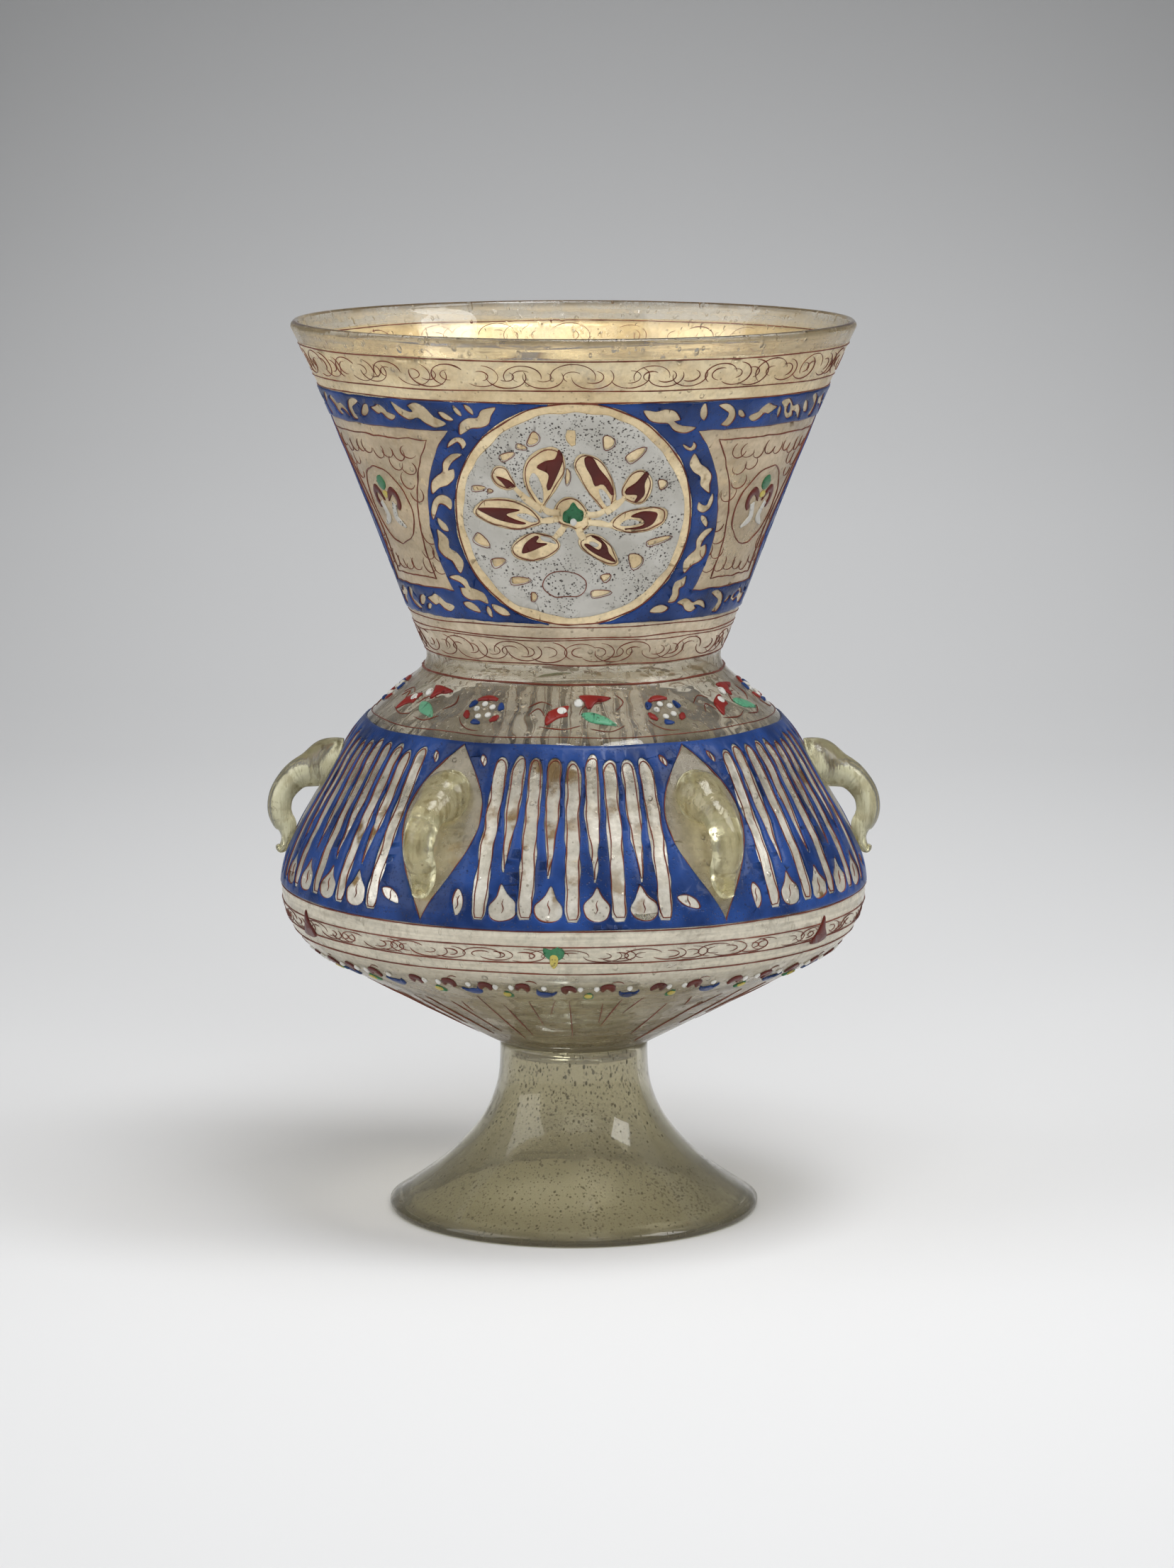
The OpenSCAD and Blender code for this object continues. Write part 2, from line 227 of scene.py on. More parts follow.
class Profile:
    """Radius of a turned solid against height, in millimetres."""

    def __init__(self, node, low, high, inside=False, rounds=10):
        self.low = low
        tree = BVHTree.FromObject(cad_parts[node], bpy.context.evaluated_depsgraph_get())
        out = Vector((math.sin(RAY_AZIMUTH), -math.cos(RAY_AZIMUTH), 0))
        radii = []
        for i in range(int((high - low) / PROFILE_STEP) + 1):
            axis_point = Vector((0, 0, (low + i * PROFILE_STEP) * MM))
            start = axis_point if inside else axis_point + out * RAY_FROM
            spot = tree.ray_cast(start, out if inside else -out)[0]
            radii.append((spot - axis_point).length / MM)
        for _ in range(rounds):
            middle = [(a + 2 * b + c) / 4 for a, b, c in zip(radii, radii[1:], radii[2:])]
            radii = radii[:1] + middle + radii[-1:]
        self.radii = radii

    def at(self, z):
        place = (z - self.low) / PROFILE_STEP
        first = max(0, min(int(place), len(self.radii) - 2))
        share = place - first
        return self.radii[first] * (1 - share) + self.radii[first + 1] * share

    def slope(self, z):
        return (self.at(z + 1) - self.at(z - 1)) / 2


# %% Heights that the solids give
vessel_low, vessel_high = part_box("vessel")
PLUG_Z = vessel_low.z / MM
RIM_Z = vessel_high.z / MM
SEAT_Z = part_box("foot")[1].z / MM
FLOOR_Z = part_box("oil_cup")[0].z / MM
BELLY_Z0, BELLY_Z1 = (corner.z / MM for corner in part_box("belly_blue_enamel"))
NECK_Z0, NECK_Z1 = (corner.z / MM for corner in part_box("neck_blue_enamel"))
EDGE_ROOM = 1.9

wall = Profile("vessel", SEAT_Z + 0.2, RIM_Z - EDGE_ROOM)
lining = Profile("vessel", FLOOR_Z + 0.2, RIM_Z - EDGE_ROOM, inside=True)
print("widest:", round(max(wall.radii), 1), "rim:", round(wall.radii[-1], 1), "mm")

# %% [markdown]
# ## New pieces
# Every piece is a mesh at the origin, with its place in its points, and it rides on one of
# the lamp's three bodies. A turned piece starts as a line of points that `spin` carries round
# the axis; `use_merge` closes the seam, and merging doubles closes the poles.

# %% Making pieces
def new_piece(name, bm, finish, body="lamp", replaced=()):
    mesh = bpy.data.meshes.new(name)
    for face in bm.faces:
        face.smooth = True
    bm.to_mesh(mesh)
    bm.free()
    mesh.materials.append(finish)
    piece = bpy.data.objects.new(name, mesh)
    scene.collection.objects.link(piece)
    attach(piece, body)
    if replaced:
        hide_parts(*replaced)
    print(name, len(mesh.polygons), "faces")
    return piece


def turned(outline, steps, closed=False):
    """Spin a line of (radius, height) points round the axis."""
    bm = bmesh.new()
    line = [bm.verts.new((r * MM, 0, z * MM)) for r, z in outline]
    edges = [bm.edges.new(pair) for pair in zip(line, line[1:])]
    if closed:
        edges.append(bm.edges.new((line[-1], line[0])))
    bmesh.ops.spin(
        bm, geom=line + edges, axis=(0, 0, 1), cent=(0, 0, 0),
        angle=math.tau, steps=steps, use_merge=True,
    )
    bmesh.ops.remove_doubles(bm, verts=bm.verts[:], dist=1e-7)
    bmesh.ops.recalc_face_normals(bm, faces=bm.faces[:])
    return bm


def heights(low, high, step):
    count = max(1, round((high - low) / step))
    return [low + (high - low) * i / count for i in range(count + 1)]


print("piece tools ready")

# %% [markdown]
# ## The lamp's glass
# Old soda glass is never clear: it is faintly tan, full of seeds (small bubbles drawn out by
# the blowing), and low on this lamp its outside keeps a thin haze of gilding. The haze is a
# second shader, mixed in by a mask: how much is left at each height, broken up by noise and by
# the level streaks of the blowing. A point attribute tells the outside from the inside. Light
# from the lamps goes straight through the glass, because light that bends through it finds
# the lamps only by luck and would leave the inside dark and noisy.

# %% Lamp glass
GLASS_TINT = paint(0.94, 0.915, 0.835)
GLASS_SHADE = paint(0.95, 0.93, 0.88)
# How much of the haze is left, and its colour, at heights in millimetres
HAZE_LEFT = [
    (50, 0.00), (54, 0.70), (76, 0.66), (84, 0.78), (90, 0.98), (101, 1.00), (102, 0.05), (151, 0.02),
    (153, 0.22), (164, 0.28), (167, 0.60), (171, 0.58), (172, 0.05), (262.5, 0.10), (263.5, 0.66),
    (268.0, 0.66), (268.5, 0.90), (270, 0.90),
]
HAZE_TONE = [
    (56, paint(0.19, 0.138, 0.058)), (78, paint(0.25, 0.187, 0.088)), (88, paint(0.76, 0.70, 0.55)),
    (102, paint(0.93, 0.86, 0.70)), (150, paint(0.92, 0.79, 0.58)), (164, paint(0.80, 0.66, 0.45)),
    (167, paint(0.40, 0.31, 0.17)), (172, paint(0.40, 0.31, 0.17)), (262, paint(0.56, 0.45, 0.28)),
    (268.2, paint(0.52, 0.42, 0.26)), (268.8, paint(0.24, 0.185, 0.10)),
]


def seeded_glass(name, tint, seed_scale, flow):
    """A finish with the bumps of drawn-out bubbles and slow waves, and its tinted colour."""
    finish = Finish(name)
    drawn = finish.stretched(*flow)
    seeds = finish.dots(seed_scale, 0.16, drawn) + 0.6 * finish.dots(seed_scale * 2.3, 0.2, drawn)
    waves = finish.grain(38, 2.0, drawn)
    specks = finish.dots(330, 0.15) * finish.ease(finish.grain(60), 0.44, 0.56)
    finish.normal = finish.bump(seeds * 0.5 + waves * 1.4, 0.0006)
    finish.colour = finish.blend(specks * 0.85, tint, paint(0.12, 0.075, 0.035))
    finish.seeds = seeds
    return finish


def lamp_glass():
    finish = seeded_glass("lamp_glass", GLASS_TINT, 150, (1, 1, 0.55))
    glass = finish.shader(
        Base_Color=finish.colour, Roughness=finish.grain(90) * 0.03 + 0.01, IOR=1.48,
        Transmission_Weight=1.0, Normal=finish.normal,
    )
    height = finish.height() * (1 / RIM_Z)
    left = finish.ramp(height, [(z / RIM_Z, grey(share)) for z, share in HAZE_LEFT])
    shade = finish.ramp(height, [(z / RIM_Z, colour) for z, colour in HAZE_TONE])
    outside = finish.add("Attribute", {"attribute_name": "outside"}, {}, "Fac")
    tone = finish.grain(70, 4.0)
    haze = finish.shader(
        Base_Color=finish.blend(tone * 0.34, shade, paint(0.15, 0.115, 0.06)),
        Roughness=finish.grain(260) * 0.2 + 0.26, Metallic=0.15, Normal=finish.normal,
    )
    clear = finish.lets_light_through(glass, GLASS_SHADE)
    streaks = finish.ease(finish.grain(26, 4.0, finish.stretched(1, 1, 22)), 0.36, 0.62)
    cover = left * finish.wear() * (streaks * 0.42 + 0.76)
    return finish.done(finish.mixed(cover * outside, clear, haze))


lamp_glass_finish = lamp_glass()
print("lamp glass:", len(lamp_glass_finish.node_tree.nodes), "nodes")

# %% [markdown]
# ## The vessel
# Belly, shoulder, neck and rim are one bubble of glass. Its outline runs from the plug that
# sits in the foot, up the outside, over the fire-rounded rim and down the inside to the floor.
# The inside of blown glass is less even than the outside, so the lining gets slow waves, which
# bend what shows through it.

# %% Vessel
VESSEL_STEPS = 192
PLUG_R = Profile("vessel", PLUG_Z + 1, SEAT_Z - 1).radii[0]
VESSEL_STEP = 1.6
RIM_ARC = 10
SKIN = 0.9
LINING_WAVE = 0.0004
LINING_EDGE = 3

outer_line = [(wall.at(z), z) for z in heights(SEAT_Z + 0.4, RIM_Z - EDGE_ROOM, VESSEL_STEP)]
inner_line = [(lining.at(z), z) for z in heights(FLOOR_Z + 0.6, RIM_Z - EDGE_ROOM, VESSEL_STEP)]
rim_out = Vector(outer_line[-1])
rim_in = Vector(inner_line[-1])
rim_across = (rim_out - rim_in) / 2
rim_middle = (rim_out + rim_in) / 2
rim_line = []
for i in range(1, RIM_ARC):
    turn = math.pi * i / RIM_ARC
    lift = Vector((0, RIM_Z - rim_middle.y))
    rim_line.append(rim_middle + rim_across * math.cos(turn) + lift * math.sin(turn))
vessel_line = (
    [(0, PLUG_Z), (PLUG_R - 0.5, PLUG_Z), (PLUG_R, PLUG_Z + 0.5), (PLUG_R, SEAT_Z)]
    + [(wall.at(SEAT_Z) - 0.4, SEAT_Z)] + outer_line + rim_line + inner_line[::-1]
    + [(lining.at(FLOOR_Z) - 1, FLOOR_Z), (0, FLOOR_Z)]
)
vessel = turned(vessel_line, VESSEL_STEPS)
outside = vessel.verts.layers.float.new("outside")
for vert in vessel.verts:
    radius = vert.co.xy.length / MM
    height = vert.co.z / MM
    on_outside = height > SEAT_Z and radius > wall.at(height) - SKIN
    vert[outside] = 1.0 if on_outside else 0.0
    if not on_outside and FLOOR_Z + LINING_EDGE < height < RIM_Z - LINING_EDGE:
        vert.co.xy *= 1 + LINING_WAVE / vert.co.xy.length * noise.noise(vert.co * 40)
new_piece("blown_vessel", vessel, lamp_glass_finish, replaced=["vessel"])

# %% [markdown]
# ## The foot
# A second, thicker gather of the same glass, drawn out into a flared foot and left plain. It
# is olive where the light crosses a lot of glass; its colour is painted darker down the flare,
# partly for the thick glass and partly as painted shade, and a painted shadow darkens the
# standing edge where it meets the floor. The outline is read from the solid too, and its
# standing edge is rounded, as glass is when it has been back in the fire.

# %% Foot glass
# Heights in millimetres over which the painted shade of the flare and the painted shadow of the
# standing edge come in
FLARE_SHADE_Z = (34, 2)
STANDING_SHADOW_Z = (3.2, 0.8)


def foot_glass():
    finish = seeded_glass("foot_glass", paint(0.68, 0.64, 0.49), 400, (1, 1, 0.45))
    dust = finish.ease(finish.grain(34, 5.0), 0.42, 0.75)
    height = finish.height()
    # Painted shade: the colour darkens down the flare, partly for the thick glass and partly for the
    # shade inside the foot
    flare = finish.ease(height, *FLARE_SHADE_Z)
    # Painted shadow: a dark band at the standing edge, where the foot meets the floor
    edge = finish.ease(height, *STANDING_SHADOW_Z)
    shade = finish.blend(flare, finish.colour, paint(0.47, 0.435, 0.315))
    glass = finish.shader(
        Base_Color=finish.blend(edge, shade, paint(0.20, 0.175, 0.11)),
        Roughness=dust * 0.16 + 0.03, IOR=1.5,
        Transmission_Weight=0.86, Normal=finish.normal,
    )
    grit = finish.dots(620, 0.3) * finish.ease(finish.grain(42, 3.0), 0.56, 0.64)
    speck = finish.shader(Base_Color=paint(0.105, 0.088, 0.048), Roughness=0.45)
    seeded = finish.mixed(finish.seeds * 1.5 + grit, glass, speck)
    return finish.done(finish.lets_light_through(seeded, paint(0.66, 0.65, 0.55)))


foot_glass_finish = foot_glass()

# %% Foot
FOOT_STEPS = 144
FOOT_EDGE_Z = 2.4
foot_wall = Profile("foot", FOOT_EDGE_Z, SEAT_Z - 0.3, rounds=24)
foot_lining = Profile("foot", FOOT_EDGE_Z, SEAT_Z - 0.3, inside=True, rounds=24)
foot_r = foot_wall.radii[0]
hollow_r = foot_lining.radii[0]
edge_line = [
    (hollow_r + 0.7, 1.1), (hollow_r + 1.7, 0.3), (hollow_r + 2.8, 0.0), (foot_r - 1.5, 0.0),
    (foot_r - 0.5, 0.35), (foot_r, 1.1),
]
foot_line = (
    edge_line
    + [(foot_wall.at(z), z) for z in heights(FOOT_EDGE_Z, SEAT_Z - 0.4, 1.2)]
    + [(foot_wall.at(SEAT_Z) - 0.4, SEAT_Z), (foot_lining.at(SEAT_Z) + 0.3, SEAT_Z)]
    + [(foot_lining.at(z), z) for z in reversed(heights(FOOT_EDGE_Z, SEAT_Z - 0.4, 1.6))]
)
foot = turned(foot_line, FOOT_STEPS, closed=True)
new_piece("flared_foot", foot, foot_glass_finish, replaced=["foot"])

# %% [markdown]
# ## The six handles
# Each handle is a gob of hot glass set on the shoulder, pulled out into a loop, pressed back
# on the belly and pinched off in a curled tail. It is a row of rings along one curve: every
# ring is a circle squashed and turned by its own matrix, `bridge_loops` joins each ring to the
# next, and what would lie inside the vessel is pushed out onto its wall.

# %% Handle glass
def handle_glass():
    finish = seeded_glass("handle_glass", paint(0.82, 0.785, 0.54), 420, (1, 1, 0.35))
    streaks = finish.grain(560, 4.0, finish.stretched(1, 1, 0.10))
    dirt = finish.ease(streaks, 0.50, 0.68)
    glass = finish.shader(
        Base_Color=finish.blend(dirt * 0.8, finish.colour, paint(0.34, 0.28, 0.13)),
        Roughness=streaks * 0.12 + 0.07, IOR=1.5, Transmission_Weight=0.9,
        Normal=finish.bump(finish.seeds * 0.3 + streaks * 0.45 + finish.grain(90, 2.0) * 0.6, 0.0005),
    )
    return finish.done(finish.lets_light_through(glass, paint(0.74, 0.72, 0.56)))


handle_glass_finish = handle_glass()

# %% Handle curve
HANDLE_ROOT_Z = 136.0
HANDLE_DROP = 26.2
HANDLE_REACH = 8.9
HANDLE_ROOT = 16.0
HANDLE_SIDES = 16
HANDLE_STEPS = 4
HANDLE_GAP = 0.03
HANDLE_LOOK = 0.05
# Shares of the drop, of the reach off the wall, of the root's thickness and of its width
HANDLE_STATIONS = [Vector(row) for row in (
    (0.00, -0.45, 1.00, 0.88), (0.00, 0.17, 1.00, 1.00), (0.06, 0.62, 0.71, 0.78),
    (0.14, 1.00, 0.56, 0.66), (0.32, 1.13, 0.49, 0.63), (0.50, 0.96, 0.47, 0.62),
    (0.63, 0.67, 0.45, 0.60), (0.72, 0.38, 0.40, 0.57), (0.84, 0.20, 0.25, 0.52),
    (0.94, 0.17, 0.20, 0.42), (1.00, 0.26, 0.15, 0.30), (0.94, 0.42, 0.09, 0.20),
)]


def bend(a, b, c, d, t):
    """A smooth curve from b to c, steered by the neighbours a and d."""
    return b + 0.5 * t * (c - a + t * (2 * a - 5 * b + 4 * c - d + t * (3 * (b - c) + d - a)))


def through(stations, place):
    """A smooth value between stations, which passes through each of them."""
    last = len(stations) - 1
    first = min(int(place), last - 1)
    around = (stations[max(0, min(last, first + k))] for k in (-1, 0, 1, 2))
    return bend(*around, place - first)


def handle_middle(place):
    share = through(HANDLE_STATIONS, max(0, min(len(HANDLE_STATIONS) - 1, place)))
    z = HANDLE_ROOT_Z - HANDLE_DROP * share[0]
    return Vector((wall.at(z) + HANDLE_REACH * share[1], 0, z)), share


# %% Handles
def handle(azimuth):
    bm = bmesh.new()
    rings = []
    turn = Matrix.Rotation(azimuth - math.pi / 2, 4, "Z")
    for i in range((len(HANDLE_STATIONS) - 1) * HANDLE_STEPS + 1):
        place = i / HANDLE_STEPS
        middle, share = handle_middle(place)
        ahead = handle_middle(place + HANDLE_LOOK)[0]
        behind = handle_middle(place - HANDLE_LOOK)[0]
        along = (ahead - behind).normalized()
        side = Vector((0, 1, 0))
        across = along.cross(side)
        shape = Matrix((
            across * HANDLE_ROOT / 2 * share[2], side * HANDLE_ROOT / 2 * share[3], along,
        )).transposed().to_4x4()
        stand = Matrix.Translation(middle) @ shape
        ring = bmesh.ops.create_circle(bm, segments=HANDLE_SIDES, radius=1, matrix=stand)
        rings.append(ring["verts"])
    edges = [list(dict.fromkeys(e for v in ring for e in v.link_edges)) for ring in rings]
    for first, second in zip(edges, edges[1:]):
        bmesh.ops.bridge_loops(bm, edges=first + second)
    bmesh.ops.contextual_create(bm, geom=rings[0])
    bmesh.ops.contextual_create(bm, geom=rings[-1])
    for vert in bm.verts:
        least = wall.at(vert.co.z) + HANDLE_GAP
        if vert.co.xy.length < least:
            vert.co.x = math.sqrt(max(0, least ** 2 - vert.co.y ** 2))
    bmesh.ops.transform(bm, matrix=turn @ Matrix.Scale(MM, 4), verts=bm.verts[:])
    bmesh.ops.recalc_face_normals(bm, faces=bm.faces[:])
    return bm


HANDLE_COUNT = 6
for number in range(1, HANDLE_COUNT + 1):
    azimuth = math.radians(360 / HANDLE_COUNT * (number - 0.5))
    piece = new_piece(
        f"pulled_handle_{number}", handle(azimuth), handle_glass_finish,
        replaced=[f"handle_{number}"],
    )
    smooth = piece.modifiers.new("smooth", "SUBSURF")
    smooth.levels = 1
    smooth.render_levels = 1

# %% [markdown]
# ## Drawing on a sheet, then rolling it up
# A painter turns the lamp and draws on it as on paper. Here too: a motif is drawn flat, in
# millimetres, and `placed` sets it on a sheet whose x runs round the lamp and whose y is the
# height. `on_wall` then rolls the sheet onto the wall. Curves pass through a few points each.

# %% Sheet and wall
SHEET_R = 64.0
FIRED_GAP = 0.02


def on_wall(x, y, lift):
    """A point of the sheet, rolled onto the wall and lifted square to it, in metres."""
    azimuth = x / SHEET_R
    lean = wall.slope(y)
    out = lift / math.sqrt(1 + lean * lean)
    radius = wall.at(y) + out
    height = y - out * lean
    return Vector((radius * math.sin(azimuth), -radius * math.cos(azimuth), height)) * MM


def placed(shape, azimuth, height, size=1.0, turn=0.0):
    """A flat motif, sized, turned (degrees) and set at an azimuth (degrees) and height."""
    rise = 1 / math.hypot(1, wall.slope(height))
    cos, sin = math.cos(math.radians(turn)), math.sin(math.radians(turn))
    points = []
    for a, b in shape:
        y = height + size * (a * sin + b * cos) * rise
        angle = math.radians(azimuth) + size * (a * cos - b * sin) / wall.at(y)
        points.append((SHEET_R * angle, y))
    return points


def mirrored(shape):
    return [(-a, b) for a, b in reversed(shape)]


# %% Curves
BRUSH_STEP = 0.7


def flow(points, step=1.0, closed=True):
    """A smooth line through given points, with a new point about every step."""
    knots = [Vector(p) for p in points]
    count = len(knots)
    line = []
    for i in range(count if closed else count - 1):
        places = [i - 1, i, i + 1, i + 2]
        if closed:
            around = [knots[k % count] for k in places]
        else:
            around = [knots[max(0, min(count - 1, k))] for k in places]
        pieces = max(1, round((around[2] - around[1]).length / step))
        line += [bend(*around, j / pieces) for j in range(pieces)]
    if not closed:
        line.append(knots[-1])
    return [tuple(p) for p in line]


def oval(a, b, wide, tall, start=0.0, end=360.0, step=1.0):
    """An arc of an oval, or a whole one without its last point."""
    sweep = math.radians(end - start)
    count = max(8, round(abs(sweep) * max(wide, tall) / step))
    whole = abs(end - start) >= 360
    turns = [math.radians(start) + sweep * i / count for i in range(count if whole else count + 1)]
    return [(a + wide * math.cos(t), b + tall * math.sin(t)) for t in turns]


def spread(widths, share):
    return max(0.1, through(widths, share * (len(widths) - 1)))


def brush(line, widths):
    """The outline of a brush mark: a smooth middle line that swells to both sides."""
    spine = [Vector(p) for p in flow(line, BRUSH_STEP, closed=False)]
    last = len(spine) - 1
    left, right = [], []
    for i, point in enumerate(spine):
        along = (spine[min(i + 1, last)] - spine[max(i - 1, 0)]).normalized()
        across = Vector((-along.y, along.x)) * spread(widths, i / last)
        left.append(tuple(point + across))
        right.append(tuple(point - across))
    return left + right[::-1]


def unsteady(points, amount, scale=0.25, seed=0.0):
    """The same line drawn by a hand that is not quite steady."""
    shaken = []
    for x, y in points:
        spot = Vector((x * scale, y * scale, seed))
        shift = noise.noise_vector(spot)
        shaken.append((x + amount * shift.x, y + amount * shift.y))
    return shaken


print("drawing tools ready")

# %% [markdown]
# ## Laying enamel
# Enamel is powdered glass in oil, painted on and melted: it stands about half a millimetre
# proud, with rounded edges and a slightly uneven top. `lay` fills the outlines flat, cuts the
# fill with a grid so that it can bend, rolls it onto the wall, and then extrudes, insets and
# lifts it, which gives a closed slab with soft edges.

# %% Lay enamel
GRID = 3.0
GRID_SNAP = 0.12


def cut_grid(bm):
    low = Vector((min(v.co.x for v in bm.verts), min(v.co.y for v in bm.verts)))
    high = Vector((max(v.co.x for v in bm.verts), max(v.co.y for v in bm.verts)))
    for axis, normal in ((0, (1, 0, 0)), (1, (0, 1, 0))):
        for i in range(int(low[axis] / GRID), int(high[axis] / GRID) + 1):
            bmesh.ops.bisect_plane(
                bm, geom=bm.verts[:] + bm.edges[:] + bm.faces[:], dist=GRID_SNAP,
                plane_co=Vector(normal) * i * GRID, plane_no=normal,
            )


def push(verts, amount, unevenness=0.0):
    """Move points square to the wall, by an amount in millimetres that may vary."""
    for vert in verts:
        radius = vert.co.xy.length
        lean = wall.slope(vert.co.z / MM)
        out = Vector((vert.co.x / radius, vert.co.y / radius, -lean)).normalized()
        share = 1 + unevenness * noise.noise(vert.co * 160)
        vert.co += out * amount * share * MM


def lay(name, outlines, finish, thick=0.5, soft=0.35, lift=FIRED_GAP, replaced=()):
    """Fill closed outlines on the sheet with a slab of enamel on the wall."""
    bm = bmesh.new()
    for outline in outlines:
        ring = [bm.verts.new((x, y, 0)) for x, y in outline]
        for pair in zip(ring, ring[1:] + ring[:1]):
            bm.edges.new(pair)
    bmesh.ops.triangle_fill(bm, edges=bm.edges[:], use_beauty=True, normal=(0, 0, 1))
    cut_grid(bm)
    for vert in bm.verts:
        vert.co = on_wall(vert.co.x, vert.co.y, lift)
    bmesh.ops.remove_doubles(bm, verts=bm.verts[:], dist=2e-6)
    raised = bmesh.ops.extrude_face_region(bm, geom=bm.faces[:])["geom"]
    top = [part for part in raised if isinstance(part, bmesh.types.BMFace)]
    push([part for part in raised if isinstance(part, bmesh.types.BMVert)], thick * 0.5)
    bmesh.ops.inset_region(bm, faces=top, thickness=soft * MM, use_boundary=True)
    push({vert for face in top for vert in face.verts}, thick * 0.5, 0.35)
    bmesh.ops.recalc_face_normals(bm, faces=bm.faces[:])
    new_piece(name, bm, finish, replaced=replaced)


# %% [markdown]
# ## Drawing the red lines
# Before the enamel the painter drew everything in thin red enamel. A line is a curve with a
# round bevel whose radius changes from point to point, so it swells and fades as a pen does.
# The curve becomes a mesh at once, because a piece has to carry its place in its points.

# %% Draw lines
def pen(name, strokes, finish, lift=0.1):
    """Draw (points, width, closed) strokes of the sheet as raised lines on the wall."""
    curve = bpy.data.curves.new(name, "CURVE")
    curve.dimensions = "3D"
    curve.bevel_depth = MM
    curve.bevel_resolution = 1
    curve.use_fill_caps = True
    for number, (points, width, closed) in enumerate(strokes):
        spline = curve.splines.new("POLY")
        spline.points.add(len(points) - 1)
        spline.use_cyclic_u = closed
        for i, (x, y) in enumerate(points):
            swell = 0.8 + 0.45 * noise.noise(Vector((x * 0.3, y * 0.3, number)))
            ends = 1.0 if closed else min(1.0, 0.35 + 0.25 * min(i, len(points) - 1 - i))
            spline.points[i].co = (*on_wall(x, y, lift), 1)
            spline.points[i].radius = width / 2 * swell * ends
    drawn = bpy.data.objects.new(name, curve)
    mesh = bpy.data.meshes.new_from_object(drawn)
    bm = bmesh.new()
    bm.from_mesh(mesh)
    bpy.data.objects.remove(drawn)
    bpy.data.curves.remove(curve)
    bpy.data.meshes.remove(mesh)
    bmesh.ops.recalc_face_normals(bm, faces=bm.faces[:])
    new_piece(name, bm, finish)


# %% [markdown]
# ## The colours of the enamel
# Cobalt blue, white, red, green and yellow. The white of the roundels is stiff and full of sand
# and soot, the red comes brown, bright, and thin for the lines, and the green deep and pale.
# Each is a glassy paint: its colour drifts, its top is wavy and pitted, and bubbles that burst
# in it have caught dirt.

# %% Enamel finishes
SOOT = paint(0.05, 0.04, 0.035)


def enamel(name, dark, light, specks=0.0, rough=0.25):
    finish = Finish(name)
    drift = finish.ease(finish.grain(75, 4.0), 0.3, 0.7)
    pits = finish.dots(520, 0.2) * finish.ease(finish.grain(150, 2.0), 0.5, 0.6)
    grit = finish.dots(700, 0.28) + finish.dots(1250, 0.3)
    black = grit * finish.ease(finish.grain(95, 2.0), 0.40, 0.54)
    shade = finish.blend(drift, dark, light)
    surface = finish.shader(
        Base_Color=finish.blend(black * specks, shade, SOOT),
        Roughness=finish.grain(200) * 0.2 + rough, Coat_Weight=0.1, Specular_IOR_Level=0.25,
        Normal=finish.bump(finish.grain(240, 3.0) * 0.6 - pits - black * specks, 0.0003),
    )
    return finish.done(surface)


blue = enamel("blue_enamel", paint(0.004, 0.021, 0.098), paint(0.019, 0.062, 0.245), specks=0.3)
white = enamel("white_enamel", paint(0.49, 0.47, 0.415), paint(0.63, 0.61, 0.555), 0.95, rough=0.4)
white_dot = enamel("white_dot_enamel", paint(0.62, 0.61, 0.56), paint(0.78, 0.77, 0.72), rough=0.35)
red = enamel("red_enamel", paint(0.070, 0.009, 0.006), paint(0.118, 0.016, 0.010))
bright_red = enamel("bright_red_enamel", paint(0.19, 0.012, 0.010), paint(0.27, 0.022, 0.016))
line_red = enamel("line_red_enamel", paint(0.11, 0.024, 0.014), paint(0.20, 0.050, 0.028))
green = enamel("green_enamel", paint(0.016, 0.115, 0.045), paint(0.06, 0.225, 0.105), specks=0.3)
pale_green = enamel("pale_green_enamel", paint(0.10, 0.34, 0.19), paint(0.19, 0.44, 0.28), specks=0.5)
yellow = enamel("yellow_enamel", paint(0.42, 0.33, 0.06), paint(0.58, 0.48, 0.12), specks=0.6)
print("enamel colours: 9")

# %% [markdown]
# ## Gilding
# What the enamel leaves bare is covered with gold, brushed on as a powder and burnished. It is
# thin and worn, so it is a film with a mask: where the mask is low the glass shows through.
# Bands and rings keep the most of it, the panels less, and on the belly it has gone silvery
# with patches of rust-coloured dirt.

# %% Gold leaf
FILM = 0.03
FILM_SOFT = 0.2
FILM_GAP = 0.008
FADE_FROM = 118.0
FADE_TO = 140.0


def gold_leaf(name, dark, light, cover, rusty, fade=0.0, shine=0.2):
    finish = Finish(name)
    tone = finish.ease(finish.grain(44, 5.0, finish.stretched(1, 1, 3)), 0.26, 0.74)
    spots = finish.ease(finish.grain(30, 2.0), 0.46, 0.6)
    rust = finish.ease(finish.grain(140, 5.0), 0.51, 0.65) * spots
    pitted = finish.ease(finish.grain(120, 2.0), 0.46, 0.6)
    pores = finish.dots(520, 0.2) * pitted + finish.dots(230, 0.14)
    shade = finish.blend(rust * rusty, finish.blend(tone, dark, light), paint(0.30, 0.19, 0.075))
    gold = finish.shader(
        Base_Color=finish.blend(pores * 0.55, shade, paint(0.16, 0.11, 0.06)),
        Roughness=finish.grain(260) * 0.25 + 0.22, Metallic=shine, Coat_Weight=0.5,
        Normal=finish.bump(finish.grain(300, 3.0) + finish.dots(170, 0.16) * 1.4, 0.0003),
    )
    bare = finish.add("BsdfTransparent", {}, {})
    thin = cover + finish.ease(finish.height(), FADE_FROM, FADE_TO) * fade
    film = finish.mixed(finish.wear() * thin, bare, gold)
    return finish.done(finish.lets_light_through(film, paint(0.60, 0.56, 0.48)))


def gild(name, outlines, gold, lift=FILM_GAP):
    lay(name, outlines, gold, FILM, FILM_SOFT, lift)


